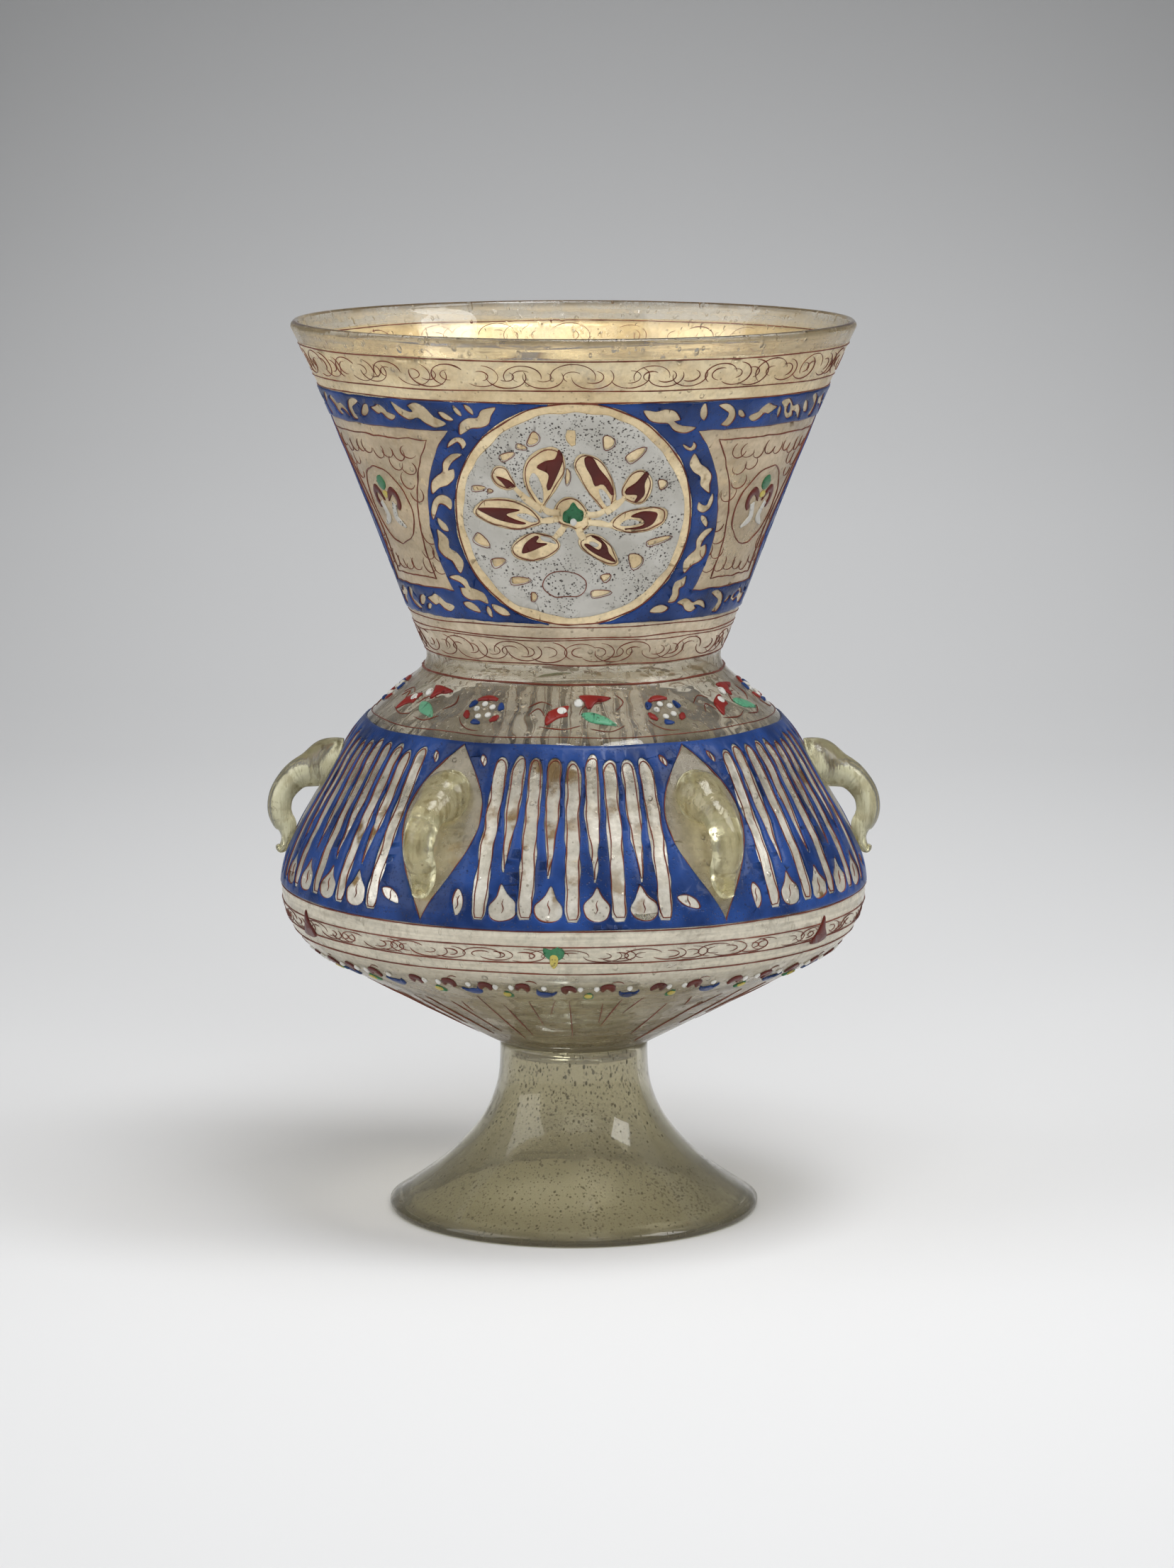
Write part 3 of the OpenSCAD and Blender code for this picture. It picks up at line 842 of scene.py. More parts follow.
band_gold = gold_leaf(
    "band_gilding", paint(0.72, 0.56, 0.32), paint(1.0, 0.87, 0.58), 0.96, 0.4, shine=0.5,
)
leaf_gold = gold_leaf(
    "leaf_gilding", paint(0.50, 0.39, 0.23), paint(0.84, 0.70, 0.46), 1.10, 0.9, shine=0.5,
)
ring_gold = gold_leaf(
    "ring_gilding", paint(0.72, 0.55, 0.30), paint(1.0, 0.83, 0.53), 1.10, 0.5, shine=0.5,
)
collar_gold = gold_leaf(
    "collar_gilding", paint(0.52, 0.42, 0.28), paint(0.87, 0.75, 0.56), 1.00, 0.3, shine=0.4,
)
field_gold = gold_leaf(
    "field_gilding", paint(0.44, 0.345, 0.22), paint(0.74, 0.60, 0.41), 0.90, 0.3, shine=0.4,
)
belly_gold = gold_leaf(
    "belly_gilding", paint(0.63, 0.585, 0.475), paint(0.97, 0.925, 0.825), 1.10, 1.0,
    fade=-0.60, shine=0.5,
)
almond_gold = gold_leaf(
    "almond_gilding", paint(0.20, 0.17, 0.115), paint(0.36, 0.315, 0.23), 0.84, 0.5,
)
stem_gold = gold_leaf(
    "stem_gilding", paint(0.58, 0.43, 0.23), paint(0.97, 0.80, 0.50), 3.0, 0.5,
)
print("kinds of gilding: 8")

# %% [markdown]
# ## The neck's blue frames
# Three frames of cobalt run round the neck, each between two roundels: a strip above, a strip
# below, and a curved border along each roundel. Pale leaves are left bare in the blue, so they
# are holes in the fill and show the gilded glass. Four leaf shapes take turns along the strips
# and round the roundels; each is set as large as it can be without touching another outline.

# %% Frame outlines
ROUNDEL_AZIMUTHS = (0, 120, 240)
ROUNDEL_SLANTS = dict(zip(ROUNDEL_AZIMUTHS, (0, 4, -3)))
PANEL_SPAN = 360 / len(ROUNDEL_AZIMUTHS)
ROUNDEL_Z = (NECK_Z0 + NECK_Z1) / 2
NECK_RISE = 1 / math.hypot(1, wall.slope(ROUNDEL_Z))
RING_BREAK = 0.7
GILT_R = (NECK_Z1 - NECK_Z0) / 2 / NECK_RISE + RING_BREAK
BORDER_W = 9.6
STRIP_W = 8.6
LEVEL_STEP = 2.0
rng = random.Random(12)


def on_roundel(shape, azimuth):
    """A motif of one roundel, slanted as the painter's hand slanted it."""
    return placed(shape, azimuth, ROUNDEL_Z, 1, ROUNDEL_SLANTS[azimuth])


def round_roundel(azimuth, radius, start=0, end=360):
    return placed(oval(0, 0, radius, radius, start, end), azimuth, ROUNDEL_Z)


def level(x0, x1, y):
    """Points along a level line of the sheet, without its ends."""
    count = max(2, round(abs(x1 - x0) / LEVEL_STEP))
    return [(x0 + (x1 - x0) * i / count, y) for i in range(1, count)]


def framed(left, right, radius, low, high):
    """A field between two roundels, hollowed by both, from a low to a high level."""
    reach_up = math.degrees(math.asin((high - ROUNDEL_Z) / NECK_RISE / radius))
    reach_down = math.degrees(math.asin((ROUNDEL_Z - low) / NECK_RISE / radius))
    left_side = round_roundel(left, radius, reach_up, -reach_down)
    right_side = round_roundel(right, radius, 180 + reach_down, 180 - reach_up)
    bottom = level(left_side[-1][0], right_side[0][0], low)
    top = level(right_side[-1][0], left_side[0][0], high)
    return left_side + bottom + right_side + top


# %% Leaves in the blue
PALMETTE = flow([
    (-6.5, -1.8), (-4.0, -0.2), (-2.4, 1.8), (0.0, 2.8), (2.3, 1.9), (1.3, 0.7), (3.4, 1.0),
    (6.6, 2.8), (5.6, 0.2), (2.8, -1.3), (0.4, -0.8), (-1.4, -2.0), (-3.8, -2.9),
], 0.7)
HOOK = flow([
    (-3.2, 2.4), (-1.0, 2.9), (1.7, 1.7), (2.9, -0.6), (1.7, -2.8), (-0.7, -2.5), (0.2, -1.2),
    (0.5, 0.3), (-1.0, 1.1),
], 0.6)
WAVE = flow([
    (-5.8, 0.7), (-3.7, 2.5), (-1.1, 2.0), (0.7, 0.5), (2.8, 1.0), (5.8, -0.9), (3.5, -1.7),
    (1.4, -2.7), (-0.9, -1.8), (-2.5, -0.4), (-3.9, -0.1),
], 0.7)
DROP = flow([(-1.9, -1.0), (0.2, 1.1), (2.0, 1.3), (1.4, -0.4), (-0.4, -1.4)], 0.5)
GARLAND = [PALMETTE, DROP, HOOK, WAVE, HOOK, PALMETTE, HOOK, DROP, WAVE]
GARLAND_GAP = 0.2
LEAF_GAP = 0.62
DROP_TRIES = 90
DROP_ROOM = 2.0
DROP_SHIFT = 2.4
DROP_FROM = 12
LEAF_SIZES = (1.4, 1.26, 1.14, 1.02, 0.9, 0.78, 0.65)


def moved(shape, a, b, size, turn):
    """A flat motif, sized, turned (degrees) and shifted on the flat sheet."""
    cos, sin = math.cos(math.radians(turn)) * size, math.sin(math.radians(turn)) * size
    return [(a + x * cos - y * sin, b + x * sin + y * cos) for x, y in shape]


def apart(outline, others):
    """Whether an outline keeps clear of every other one."""
    points = [(x, y, 0) for other in others for x, y in other]
    tree = kdtree.KDTree(len(points))
    for i, point in enumerate(points):
        tree.insert(point, i)
    tree.balance()
    return all(tree.find((x, y, 0))[2] > LEAF_GAP for x, y in outline)


def add_leaf(shape, azimuth, height, spot, turn, kept):
    """Set a leaf at the largest size that keeps clear of what is there."""
    for size in LEAF_SIZES:
        outline = placed(moved(shape, *spot, size, turn), azimuth, height)
        if apart(outline, kept):
            kept.append(outline)
            return


def next_leaf(number):
    shape = GARLAND[number % len(GARLAND)]
    shape = mirrored(shape) if rng.random() < 0.5 else shape
    wide = max(a for a, b in shape) - min(a for a, b in shape)
    return shape, wide * 1.12 + GARLAND_GAP, rng.uniform(-6, 6) + rng.choice((0, 180))


def strip_leaves(start, end, height, kept):
    """Leaves in a row along a strip, between two azimuths."""
    number = rng.randrange(len(GARLAND))
    azimuth = start
    while azimuth < end:
        shape, wide, turn = next_leaf(number)
        step = math.degrees(wide / wall.at(height))
        add_leaf(shape, azimuth + step / 2, height, (0, 0), turn, kept)
        azimuth += step
        number += 1


def filler_drops(left, right, kept):
    """Small drops wherever the garlands leave room in the strips."""
    for _ in range(DROP_TRIES):
        azimuth = rng.uniform(left + DROP_FROM, right - DROP_FROM)
        strip = NECK_Z1 - STRIP_W / 2 if rng.random() < 0.5 else NECK_Z0 + STRIP_W / 2
        height = strip + rng.uniform(-DROP_SHIFT, DROP_SHIFT)
        across = math.radians(min(azimuth - left, right - azimuth)) * wall.at(height)
        if math.hypot(across, (height - ROUNDEL_Z) / NECK_RISE) > GILT_R + DROP_ROOM:
            add_leaf(DROP, azimuth, height, (0, 0), rng.uniform(0, 360), kept)


def border_leaves(roundel, radius, start, end, kept):
    """Leaves in a row round a roundel, between two directions in degrees."""
    number = rng.randrange(len(GARLAND))
    way = start
    while way < end:
        shape, wide, turn = next_leaf(number)
        step = math.degrees(wide / radius)
        middle = math.radians(way + step / 2)
        spot = (radius * math.cos(middle), radius * math.sin(middle))
        add_leaf(shape, roundel, ROUNDEL_Z, spot, way + step / 2 + 90 + turn, kept)
        way += step
        number += 1


# %% Blue frames
LEFT_SWEEP = (-54, 56)
RIGHT_SWEEP = (124, 234)
HIGH_STRIP_FROM = 22
LOW_STRIP_FROM = 26

blue_outlines, leaf_outlines, window_outlines = [], [], []
for left in ROUNDEL_AZIMUTHS:
    right = left + PANEL_SPAN
    blue_outlines.append(unsteady(framed(left, right, GILT_R, NECK_Z0, NECK_Z1), 0.35))
    window = framed(left, right, GILT_R + BORDER_W, NECK_Z0 + STRIP_W, NECK_Z1 - STRIP_W)
    window_outlines.append(unsteady(window, 0.35))
    kept = [blue_outlines[-1], window_outlines[-1]]
    middle_r = GILT_R + BORDER_W / 2
    border_leaves(left, middle_r, *LEFT_SWEEP, kept)
    border_leaves(right, middle_r, *RIGHT_SWEEP, kept)
    strip_leaves(left + HIGH_STRIP_FROM, right - HIGH_STRIP_FROM, NECK_Z1 - STRIP_W / 2, kept)
    strip_leaves(left + LOW_STRIP_FROM, right - LOW_STRIP_FROM, NECK_Z0 + STRIP_W / 2, kept)
    filler_drops(left, right, kept)
    leaf_outlines += kept[2:]
print("leaves in the blue:", len(leaf_outlines))
lay(
    "neck_blue_frames", blue_outlines + window_outlines + leaf_outlines, blue,
    replaced=["neck_blue_enamel"],
)

# %% [markdown]
# ## The roundels
# In each roundel a gilded lotus opens on a ground of gritty white. The white is one disc with
# the petals left out of it; inside the petals lie dabs of brown-red and wedges of the same
# white. All three roundels carry the same flower, slanted a little by the painter's hand.

# %% Lotus petals
WHITE_R = GILT_R - 3.0
PETALS = [flow(points) for points in (
    [(-9.3, 1.8), (-12.5, 6.5), (-14.4, 12), (-13.4, 17.5), (-10, 21), (-5.5, 22), (-2.8, 19.5),
     (-2.2, 14.5), (-4.4, 9), (-7.0, 5)],
    [(0.8, 18.6), (3, 19.8), (7.5, 18.2), (11, 12.6), (12.4, 6.5), (11.6, 2.4), (9.4, 1.0),
     (5.5, 5.6), (2.0, 11.5), (0.3, 15.5)],
    [(-24, 12.5), (-22.5, 15.5), (-19.5, 15.2), (-17.6, 12), (-16.4, 9), (-19, 7.8), (-22.5, 9.3)],
    [(-29.8, 1.2), (-26.2, 4.5), (-20, 5.4), (-13.9, 3.6), (-8.6, -1.6), (-10.8, -3.6), (-17, -4.9),
     (-24.4, -3.3), (-29, -0.8)],
    [(-18.2, -11.2), (-15.6, -7.4), (-11, -5.6), (-6, -6.6), (-3.6, -9.6), (-6.2, -13.2),
     (-11.2, -15), (-16.4, -14.2)],
    [(14.4, 5.6), (14.2, 9.2), (17, 13.6), (20.6, 14.4), (23.2, 10.8), (22.6, 6.4), (20.4, 3.6),
     (17.6, 3.4)],
    [(10.4, -3.4), (13.8, 0.6), (21.4, 2.4), (27.6, 1.4), (27.4, -2.6), (22.6, -5.4), (15.6, -5.8)],
    [(1.6, -7.6), (4.6, -5.8), (8.4, -7.0), (11.6, -10.8), (13.2, -15.8), (10.4, -16.4), (5.6, -13.4),
     (2.2, -10.6)],
)]
BUD = flow([(-5.4, -0.5), (-5.2, 3), (-3, 5.6), (-0.5, 6.0), (2.5, 4.2), (4.8, 0), (4.8, -3.2),
            (2.6, -5.0), (-0.2, -4.2), (-3.6, -2.8)])
DABS = [flow(points, 0.7) for points in (
    [(-4, 21.3), (-2.9, 19.1), (-3.3, 16), (-6.5, 8.3), (-7.6, 9.2), (-7.1, 13.2), (-10.4, 15.4),
     (-8.0, 17.4), (-5.2, 18.2)],
    [(3.4, 18.6), (5.6, 18.5), (7.6, 15.0), (10.6, 10.7), (11.8, 6.6), (11.0, 6.4), (8.6, 9.9),
     (6.3, 9.4), (5.1, 12.6), (3.5, 16.0)],
    [(-22.4, 12.2), (-18.6, 11.0), (-16.6, 8.9), (-18.0, 9.0), (-19.2, 8.6), (-20.6, 10.2)],
    [(-28.2, 1.6), (-21.0, 2.0), (-15.4, 1.5), (-19.4, 0.0), (-17, -1.5), (-13.6, -2.7), (-15.7, -3.1),
     (-21.3, -2.0), (-25.6, -0.2)],
    [(-11.0, -6.8), (-9.8, -7.2), (-10.6, -8.8), (-7.4, -9.2), (-9.2, -10.3), (-12.6, -12),
     (-14.9, -12.4), (-13.9, -9.3)],
    [(21.2, 13.7), (22.2, 13.1), (20.9, 9.9), (20.8, 6.4), (18.6, 4.0), (17.8, 4.2), (18.6, 6.2),
     (15.2, 6.6), (15.4, 8.3), (18.2, 10.3)],
    [(24.6, 0.4), (20.3, 0.9), (16.8, -0.6), (19.9, -1.4), (20.9, -2.8), (19.5, -3.9), (14.9, -4.6),
     (19.7, -4.8), (23.0, -3.6), (24.6, -1.5)],
    [(5.2, -6.7), (7.6, -7.4), (9.8, -10.0), (10.4, -12.3), (12.4, -15.2), (9.8, -14.4), (5.6, -12.0),
     (3.2, -9.6), (4.2, -9.2), (7.4, -11.2), (8.2, -9.3), (6.8, -8.0)],
)]
WEDGES = [flow(points, 0.8) for points in (
    [(-11.6, 13.6), (-10.0, 12.2), (-8.6, 8), (-8.8, 4.0), (-11.0, 6.8), (-12.6, 10.6)],
    [(7.4, 8.3), (8.8, 8.0), (10.6, 5.2), (10.8, 2.9), (9.6, 2.9), (8.0, 5.6)],
    [(-16.4, 0.0), (-13.4, 0.4), (-10.0, -1.6), (-11.8, -2.4), (-14.6, -1.2)],
    [(-9.4, -6.7), (-6.4, -7.4), (-4.8, -9.2), (-6.6, -8.8), (-8.8, -8.2)],
    [(15.6, -1.6), (18.4, -1.8), (19.6, -2.8), (16.6, -3.6), (13.6, -3.4)],
    [(4.6, -8.6), (6.0, -8.6), (7.4, -9.6), (6.4, -10.4), (4.8, -9.4)],
)]

STEMS = [brush(line, [1.0, 1.3, 0.8]) for line in (
    [(-3.6, 1.0), (-6.6, 1.2), (-9.4, 2.8)], [(3.6, 0.6), (6.6, 0.4), (9.4, 1.8)],
    [(-8.6, 1.4), (-12.4, 4.3), (-16.8, 8.8)], [(-4.2, -1.0), (-6.6, -1.4), (-9.6, -1.8)],
    [(-2.4, -3.2), (-3.8, -5.4), (-5.6, -7.4)], [(9.2, 0.6), (12.4, 3.4), (15.0, 5.8)],
    [(4.0, -2.2), (7.4, -2.4), (11.4, -3.4)], [(1.4, -4.0), (2.2, -6.0), (3.2, -8.0)],
)]

# %% Small gilt leaves on the white
LEAF_SIDES = 14
LEAF_POINT = 0.25
# Middle (right, up), width, height and turn of each leaf
LEAVES = [
    (-11.5, 24.6, 2.8, 4.4, -20), (9.9, 23.4, 3.2, 4.4, 5), (-19.4, 18.8, 4.4, 2.2, 25),
    (-15.0, 22.0, 3.0, 1.6, -15), (17.6, 19.0, 6.4, 3.0, 35), (26.0, 9.6, 2.6, 3.2, 10),
    (-28.2, 8.2, 4.0, 1.8, 5), (-27.6, -8.6, 5.4, 3.2, -35), (-22.4, -15.6, 4.2, 2.8, 20),
    (-16.0, -21.4, 5.6, 2.4, 5), (-11.5, -26.6, 1.6, 3.0, 0), (7.4, -25.4, 5.6, 2.2, 8),
    (9.2, -20.2, 2.8, 2.2, 30), (18.0, -15.0, 4.0, 5.0, 12), (24.6, -8.8, 7.6, 2.0, 14),
    (-1.6, 12.6, 1.3, 5.0, 0), (-24.4, 7.5, 1.6, 1.2, 0),
]


def leaf(a, b, wide, tall, turn):
    """A rounded leaf with one pointed end."""
    shape = []
    for i in range(LEAF_SIDES):
        t = math.tau * i / LEAF_SIDES
        shape.append((wide / 2 * (math.cos(t) + LEAF_POINT * math.cos(2 * t)), tall / 2 * math.sin(t)))
    return moved(shape, a, b, 1, turn)


CLUB = brush([(-0.5, 27.4), (-0.6, 24.6), (0.2, 22.4)], [1.1, 1.5, 0.6])
OPENINGS = PETALS + [BUD, CLUB] + [leaf(*row) for row in LEAVES]

# %% Roundels
ground_outlines, white_wedges, red_dabs, stem_outlines = [], [], [], []
for number, azimuth in enumerate(ROUNDEL_AZIMUTHS, 1):
    disc = unsteady(oval(0, 0, WHITE_R, WHITE_R), 0.9, 0.16, number)
    outlines = [on_roundel(shape, azimuth) for shape in [disc] + OPENINGS]
    lay(
        f"roundel_ground_{number}", outlines, white,
        replaced=[f"roundel_enamel_{number}"],
    )
    ground_outlines += outlines
    white_wedges += [on_roundel(shape, azimuth) for shape in WEDGES]
    red_dabs += [on_roundel(shape, azimuth) for shape in DABS]
    stem_outlines += [on_roundel(shape, azimuth) for shape in STEMS]
lay("petal_white", white_wedges, white, 0.4, 0.3)
lay("petal_red", red_dabs, red, 0.4, 0.3)

# %% [markdown]
# ## Gilding on the neck
# A band of gold lies above the frames and another below, and thin gold fills the leaves, the
# panels and the open petals. A band is drawn as a strip that goes once round the lamp and is
# closed at a seam behind it. The petals' stems lie over the white, so they stand proud.

# %% Neck gilding
GILT_Z0 = 171.6
GILT_Z1 = 264.0
RING_EDGE = 0.3
BAND_STEPS = 240
BAND_SHAKE = 0.35
SEAM_AZIMUTH = 182.25
BAND_AZIMUTHS = [SEAM_AZIMUTH - 360 + 360 / BAND_STEPS * i for i in range(BAND_STEPS + 1)]


def round_edge(azimuth, height):
    turn = math.radians(azimuth)
    shake = noise.noise(Vector((3 * math.cos(turn), 3 * math.sin(turn), height)))
    return SHEET_R * turn, height + BAND_SHAKE * shake


def round_band(low, high):
    """The outline of a band that goes right round, opened at the seam."""
    there = [round_edge(azimuth, low) for azimuth in BAND_AZIMUTHS]
    back = [round_edge(azimuth, high) for azimuth in reversed(BAND_AZIMUTHS)]
    return there + back


gild("band_gilding", [round_band(NECK_Z1, GILT_Z1)], band_gold)
gild("collar_gilding", [round_band(GILT_Z0, NECK_Z0)], collar_gold)
gild("field_gilding", window_outlines, field_gold)
gild("leaf_gilding", leaf_outlines, leaf_gold)
rings = [round_roundel(azimuth, GILT_R - RING_EDGE) for azimuth in ROUNDEL_AZIMUTHS]
gild("roundel_gilding", rings + ground_outlines, ring_gold, FILM_GAP + 2 * FILM)
for number in range(len(STEMS)):
    same_stem = stem_outlines[number::len(STEMS)]
    lay(f"stem_gilding_{number + 1}", same_stem, stem_gold, 0.62, 0.4)

# %% [markdown]
# ## The belly's blue band
# Round the belly runs a broad band of cobalt with tall pale staves left in it, every second
# one short and pointed over a bud, and an almond of bare glass behind each handle. It is
# one ring: drawn as a long strip, and closed by merging the points where its ends meet.

# %% Staves and almonds
STAVE_COUNT = 9
STAVE_STEPS = 30
STAVE_PITCH = 4.5
STAVE_LOW_HALF = 2.25
STAVE_HIGH_HALF = 2.15
STAVE_LOW = BELLY_Z0 + 2.4
STAVE_HIGH = BELLY_Z1 - 2.0
SHORT_LIFT = 11.0
LINE_INSET = 0.45
ALMOND_STEPS = 44
ALMOND_HALF = 12.6
ALMOND_SKEW = 1.25
ALMOND_MARGIN = 0.7
SECTOR = 360 / HANDLE_COUNT


def stave(azimuth, low, high, pointed, lean, slant, inset=0.0):
    """A tall stave with a slanted round head; its lower end is blunt, or drawn out to a point."""
    top = STAVE_HIGH_HALF - inset
    low += inset * 2
    high -= inset * 2
    left, right = [], []
    for i in range(STAVE_STEPS + 1):
        t = i / STAVE_STEPS
        z = low + (high - 2 * top - low) * t
        half = (STAVE_LOW_HALF - inset) * (1 - t) + top * t
        half *= min(1.0, 0.12 + 1.6 * t) if pointed else min(1.0, 0.6 + 9 * t)
        drift = lean * (1 - t)
        left.append(placed([(drift - half, 0)], azimuth, z)[0])
        right.append(placed([(drift + half, 0)], azimuth, z)[0])
    arch = [(x, y + slant * x) for x, y in oval(0, 0, top, 2 * top, 25, 155, 0.6)]
    return right + placed(arch, azimuth, high - 2 * top) + left[::-1]


def almond(azimuth):
    low, high = BELLY_Z0 + ALMOND_MARGIN, BELLY_Z1 - ALMOND_MARGIN
    right = []
    for i in range(ALMOND_STEPS + 1):
        t = i / ALMOND_STEPS
        half = ALMOND_HALF * math.sin(math.pi * t ** ALMOND_SKEW)
        right.append((max(half, 0.0), low + (high - low) * t))
    sides = [placed([(half, 0)], azimuth, z)[0] for half, z in right]
    sides += [placed([(-half, 0)], azimuth, z)[0] for half, z in reversed(right[1:-1])]
    return sides


# %% Belly band
STAVE_BUD = flow([
    (0, 4.6), (1.3, 2.4), (3.1, 0.2), (2.9, -2.2), (1.2, -3.4), (-1.2, -3.4), (-2.9, -2.2),
    (-3.1, 0.2), (-1.3, 2.4),
], 0.8)
BUD_LIFT = 4.3
THORN_SIZE = 1.7
THORN_OFF = 7.4
THORN_LIFT = 4.4
BEAD = moved(DROP, 0, 0, 0.9, 80)
BEAD_OFF = 7.0
BEAD_DROP = 2.6

stave_outlines, stave_lines, almond_outlines, bud_outlines = [], [], [], []
for sector in range(HANDLE_COUNT):
    first = SEAM_AZIMUTH - STAVE_PITCH / 2 + SECTOR * (sector - HANDLE_COUNT)
    behind_handle = first + SECTOR / 2
    almond_outlines.append(almond(behind_handle))
    for side in (-1, 1):
        thorn = moved(DROP, 0, 0, THORN_SIZE, 90 - 30 * side)
        bud_outlines.append(placed(thorn, behind_handle + THORN_OFF * side, STAVE_LOW + THORN_LIFT))
        bud_outlines.append(placed(BEAD, behind_handle + BEAD_OFF * side, STAVE_HIGH - BEAD_DROP))
    for k in range(STAVE_COUNT):
        azimuth = first + STAVE_PITCH * (k - (STAVE_COUNT - 1) / 2)
        if azimuth < SEAM_AZIMUTH - 360:
            azimuth += 360
        azimuth += rng.uniform(-0.1, 0.1)
        short = k % 2 == 1
        low = STAVE_LOW + (SHORT_LIFT + rng.uniform(-0.4, 3) if short else rng.uniform(-0.4, 0.6))
        form = (azimuth, low, STAVE_HIGH + rng.uniform(-1.2, 0.6), short, rng.uniform(-0.5, 0.5))
        slant = rng.uniform(-0.6, 0.6)
        stave_outlines.append(unsteady(stave(*form, slant), 0.45))
        stave_lines.append(stave(*form, slant, LINE_INSET))
        if short:
            size = rng.uniform(1.2, 1.34)
            bud = placed(STAVE_BUD, azimuth, STAVE_LOW + BUD_LIFT, size, rng.uniform(-9, 9))
            bud_outlines.append(unsteady(bud, 0.4))
reserves = stave_outlines + almond_outlines + bud_outlines
lay(
    "belly_blue_band", [round_band(BELLY_Z0, BELLY_Z1)] + reserves, blue,
    replaced=["belly_blue_enamel"],
)
gild("belly_gilding", stave_outlines + bud_outlines, belly_gold)
gild("almond_gilding", almond_outlines, almond_gold)

# %% [markdown]
# ## Red lines on the neck
# Thin red lines edge every field, run round the rim and the foot of the neck, and fill the
# gilt bands with quick arcs and curls, the painter's shorthand for leaves. The lines round the
# reserved shapes repeat the enamel's own outlines, a little unsteadily.

# %% Line helpers
OUTLINE_W = 0.5
FINE_W = 0.44


def ring_line(height, width, sway=0.4, seed=0.0):
    """A line right round the lamp."""
    points = []
    for i in range(BAND_STEPS):
        turn = math.radians(360 * i / BAND_STEPS)
        shake = noise.noise(Vector((2.5 * math.cos(turn), 2.5 * math.sin(turn), height + seed)))
        points.append((SHEET_R * turn, height + sway * shake))
    return points, width, True


def scrolls(low, high, pitch):
    """A row of big arcs that overlap, turned up and down by turns, with a curl in each hollow."""
    strokes = []
    rise = 1 / math.hypot(1, wall.slope(low))
    tall = (high - low) / 2 / rise
    count = round(math.tau * wall.at(high) / pitch)
    for i in range(count):
        spot = 360 / count * (i + rng.uniform(-0.35, 0.35)), (low + high) / 2
        turn = (200 if i % 3 else 10) + rng.uniform(-40, 40)
        for share, start, end in ((rng.uniform(0.8, 1.0), 0, 215), (rng.uniform(0.35, 0.5), 60, 250)):
            arc = oval(0, 0, pitch * 0.9 * share, tall * share, turn + start, turn + end, 0.9)
            strokes.append((placed(arc, *spot), FINE_W * rng.uniform(0.55, 0.95), False))
    return strokes


def outlined(outlines, width, shake=0.2):
    return [(unsteady(points, shake, 0.2, 5.0), width, True) for points in outlines]


# %% Neck lines
RIM_LINE_Z = 263.4
BAND_LINE_Z = 254.6
COLLAR_HIGH_Z = 180.8
COLLAR_LOW_Z = 172.2
RING_LINE_EDGE = 0.35

neck_strokes = [
    ring_line(RIM_LINE_Z, 0.5), ring_line(BAND_LINE_Z, 0.45, 0.6), ring_line(NECK_Z1 + 0.3, 0.45),
    ring_line(NECK_Z0 - 1.2, 0.4, 0.5), ring_line(COLLAR_HIGH_Z, 0.45, 0.7),
    ring_line(COLLAR_HIGH_Z - 1.1, 0.35, 0.9, 3), ring_line(COLLAR_LOW_Z, 0.5, 0.5),
]
neck_strokes += scrolls(BAND_LINE_Z + 0.6, RIM_LINE_Z - 0.6, 7.2)
neck_strokes += scrolls(COLLAR_LOW_Z + 0.6, COLLAR_HIGH_Z - 1.4, 6.6)
neck_strokes += outlined(window_outlines, OUTLINE_W)
neck_strokes += outlined(leaf_outlines, 0.36, 0.3)
for number, azimuth in enumerate(ROUNDEL_AZIMUTHS):
    ring = unsteady(round_roundel(azimuth, GILT_R - RING_LINE_EDGE), 0.5, 0.1, number)
    neck_strokes.append((ring, 0.6, True))
pen("neck_red_lines", neck_strokes, line_red)

# %% [markdown]
# ## The neck's side panels
# Between the roundels each panel has a second, inner red frame, a ring in its middle with a
# small lily, and half circles strewn over the gilt ground.

# %% Panels
PANEL_INSET = 3.2
PANEL_SIDE_INSET = 4.6
PANEL_HALF = 20.0
PANEL_SPREAD = 5.0
MEDALLION_R = 11.8
MEDALLION_ROOM = 3.6
ARC_ROWS = 4
ARC_ROW = 4.3
ARC_COLUMNS = 6
ARC_COLUMN = 5.0
ARC_ROOM = 3.0
LILY_PETAL = flow([
    (-1.2, 1.0), (-2.2, 4.2), (-5.0, 6.0), (-7.4, 3.8), (-7.4, 0.4), (-5.6, -1.6), (-4.9, -0.4),
    (-5.9, 1.6), (-5.0, 3.4), (-3.2, 2.6),
], 0.7)
LILY_STEM = brush([(-3.9, 2.0), (-2.6, -1.2), (-2.6, -3.2), (-6.0, -5.6)], [1.0, 1.1, 1.2, 0.4])
LILY_BUD = flow([(0.2, 4.6), (2.0, 5.6), (2.5, 7.6), (0.8, 9.4), (-1.6, 8.4), (-1.9, 6.0)], 0.7)
LILY_HEART = oval(0.4, 3.2, 1.5, 1.2, step=0.7)

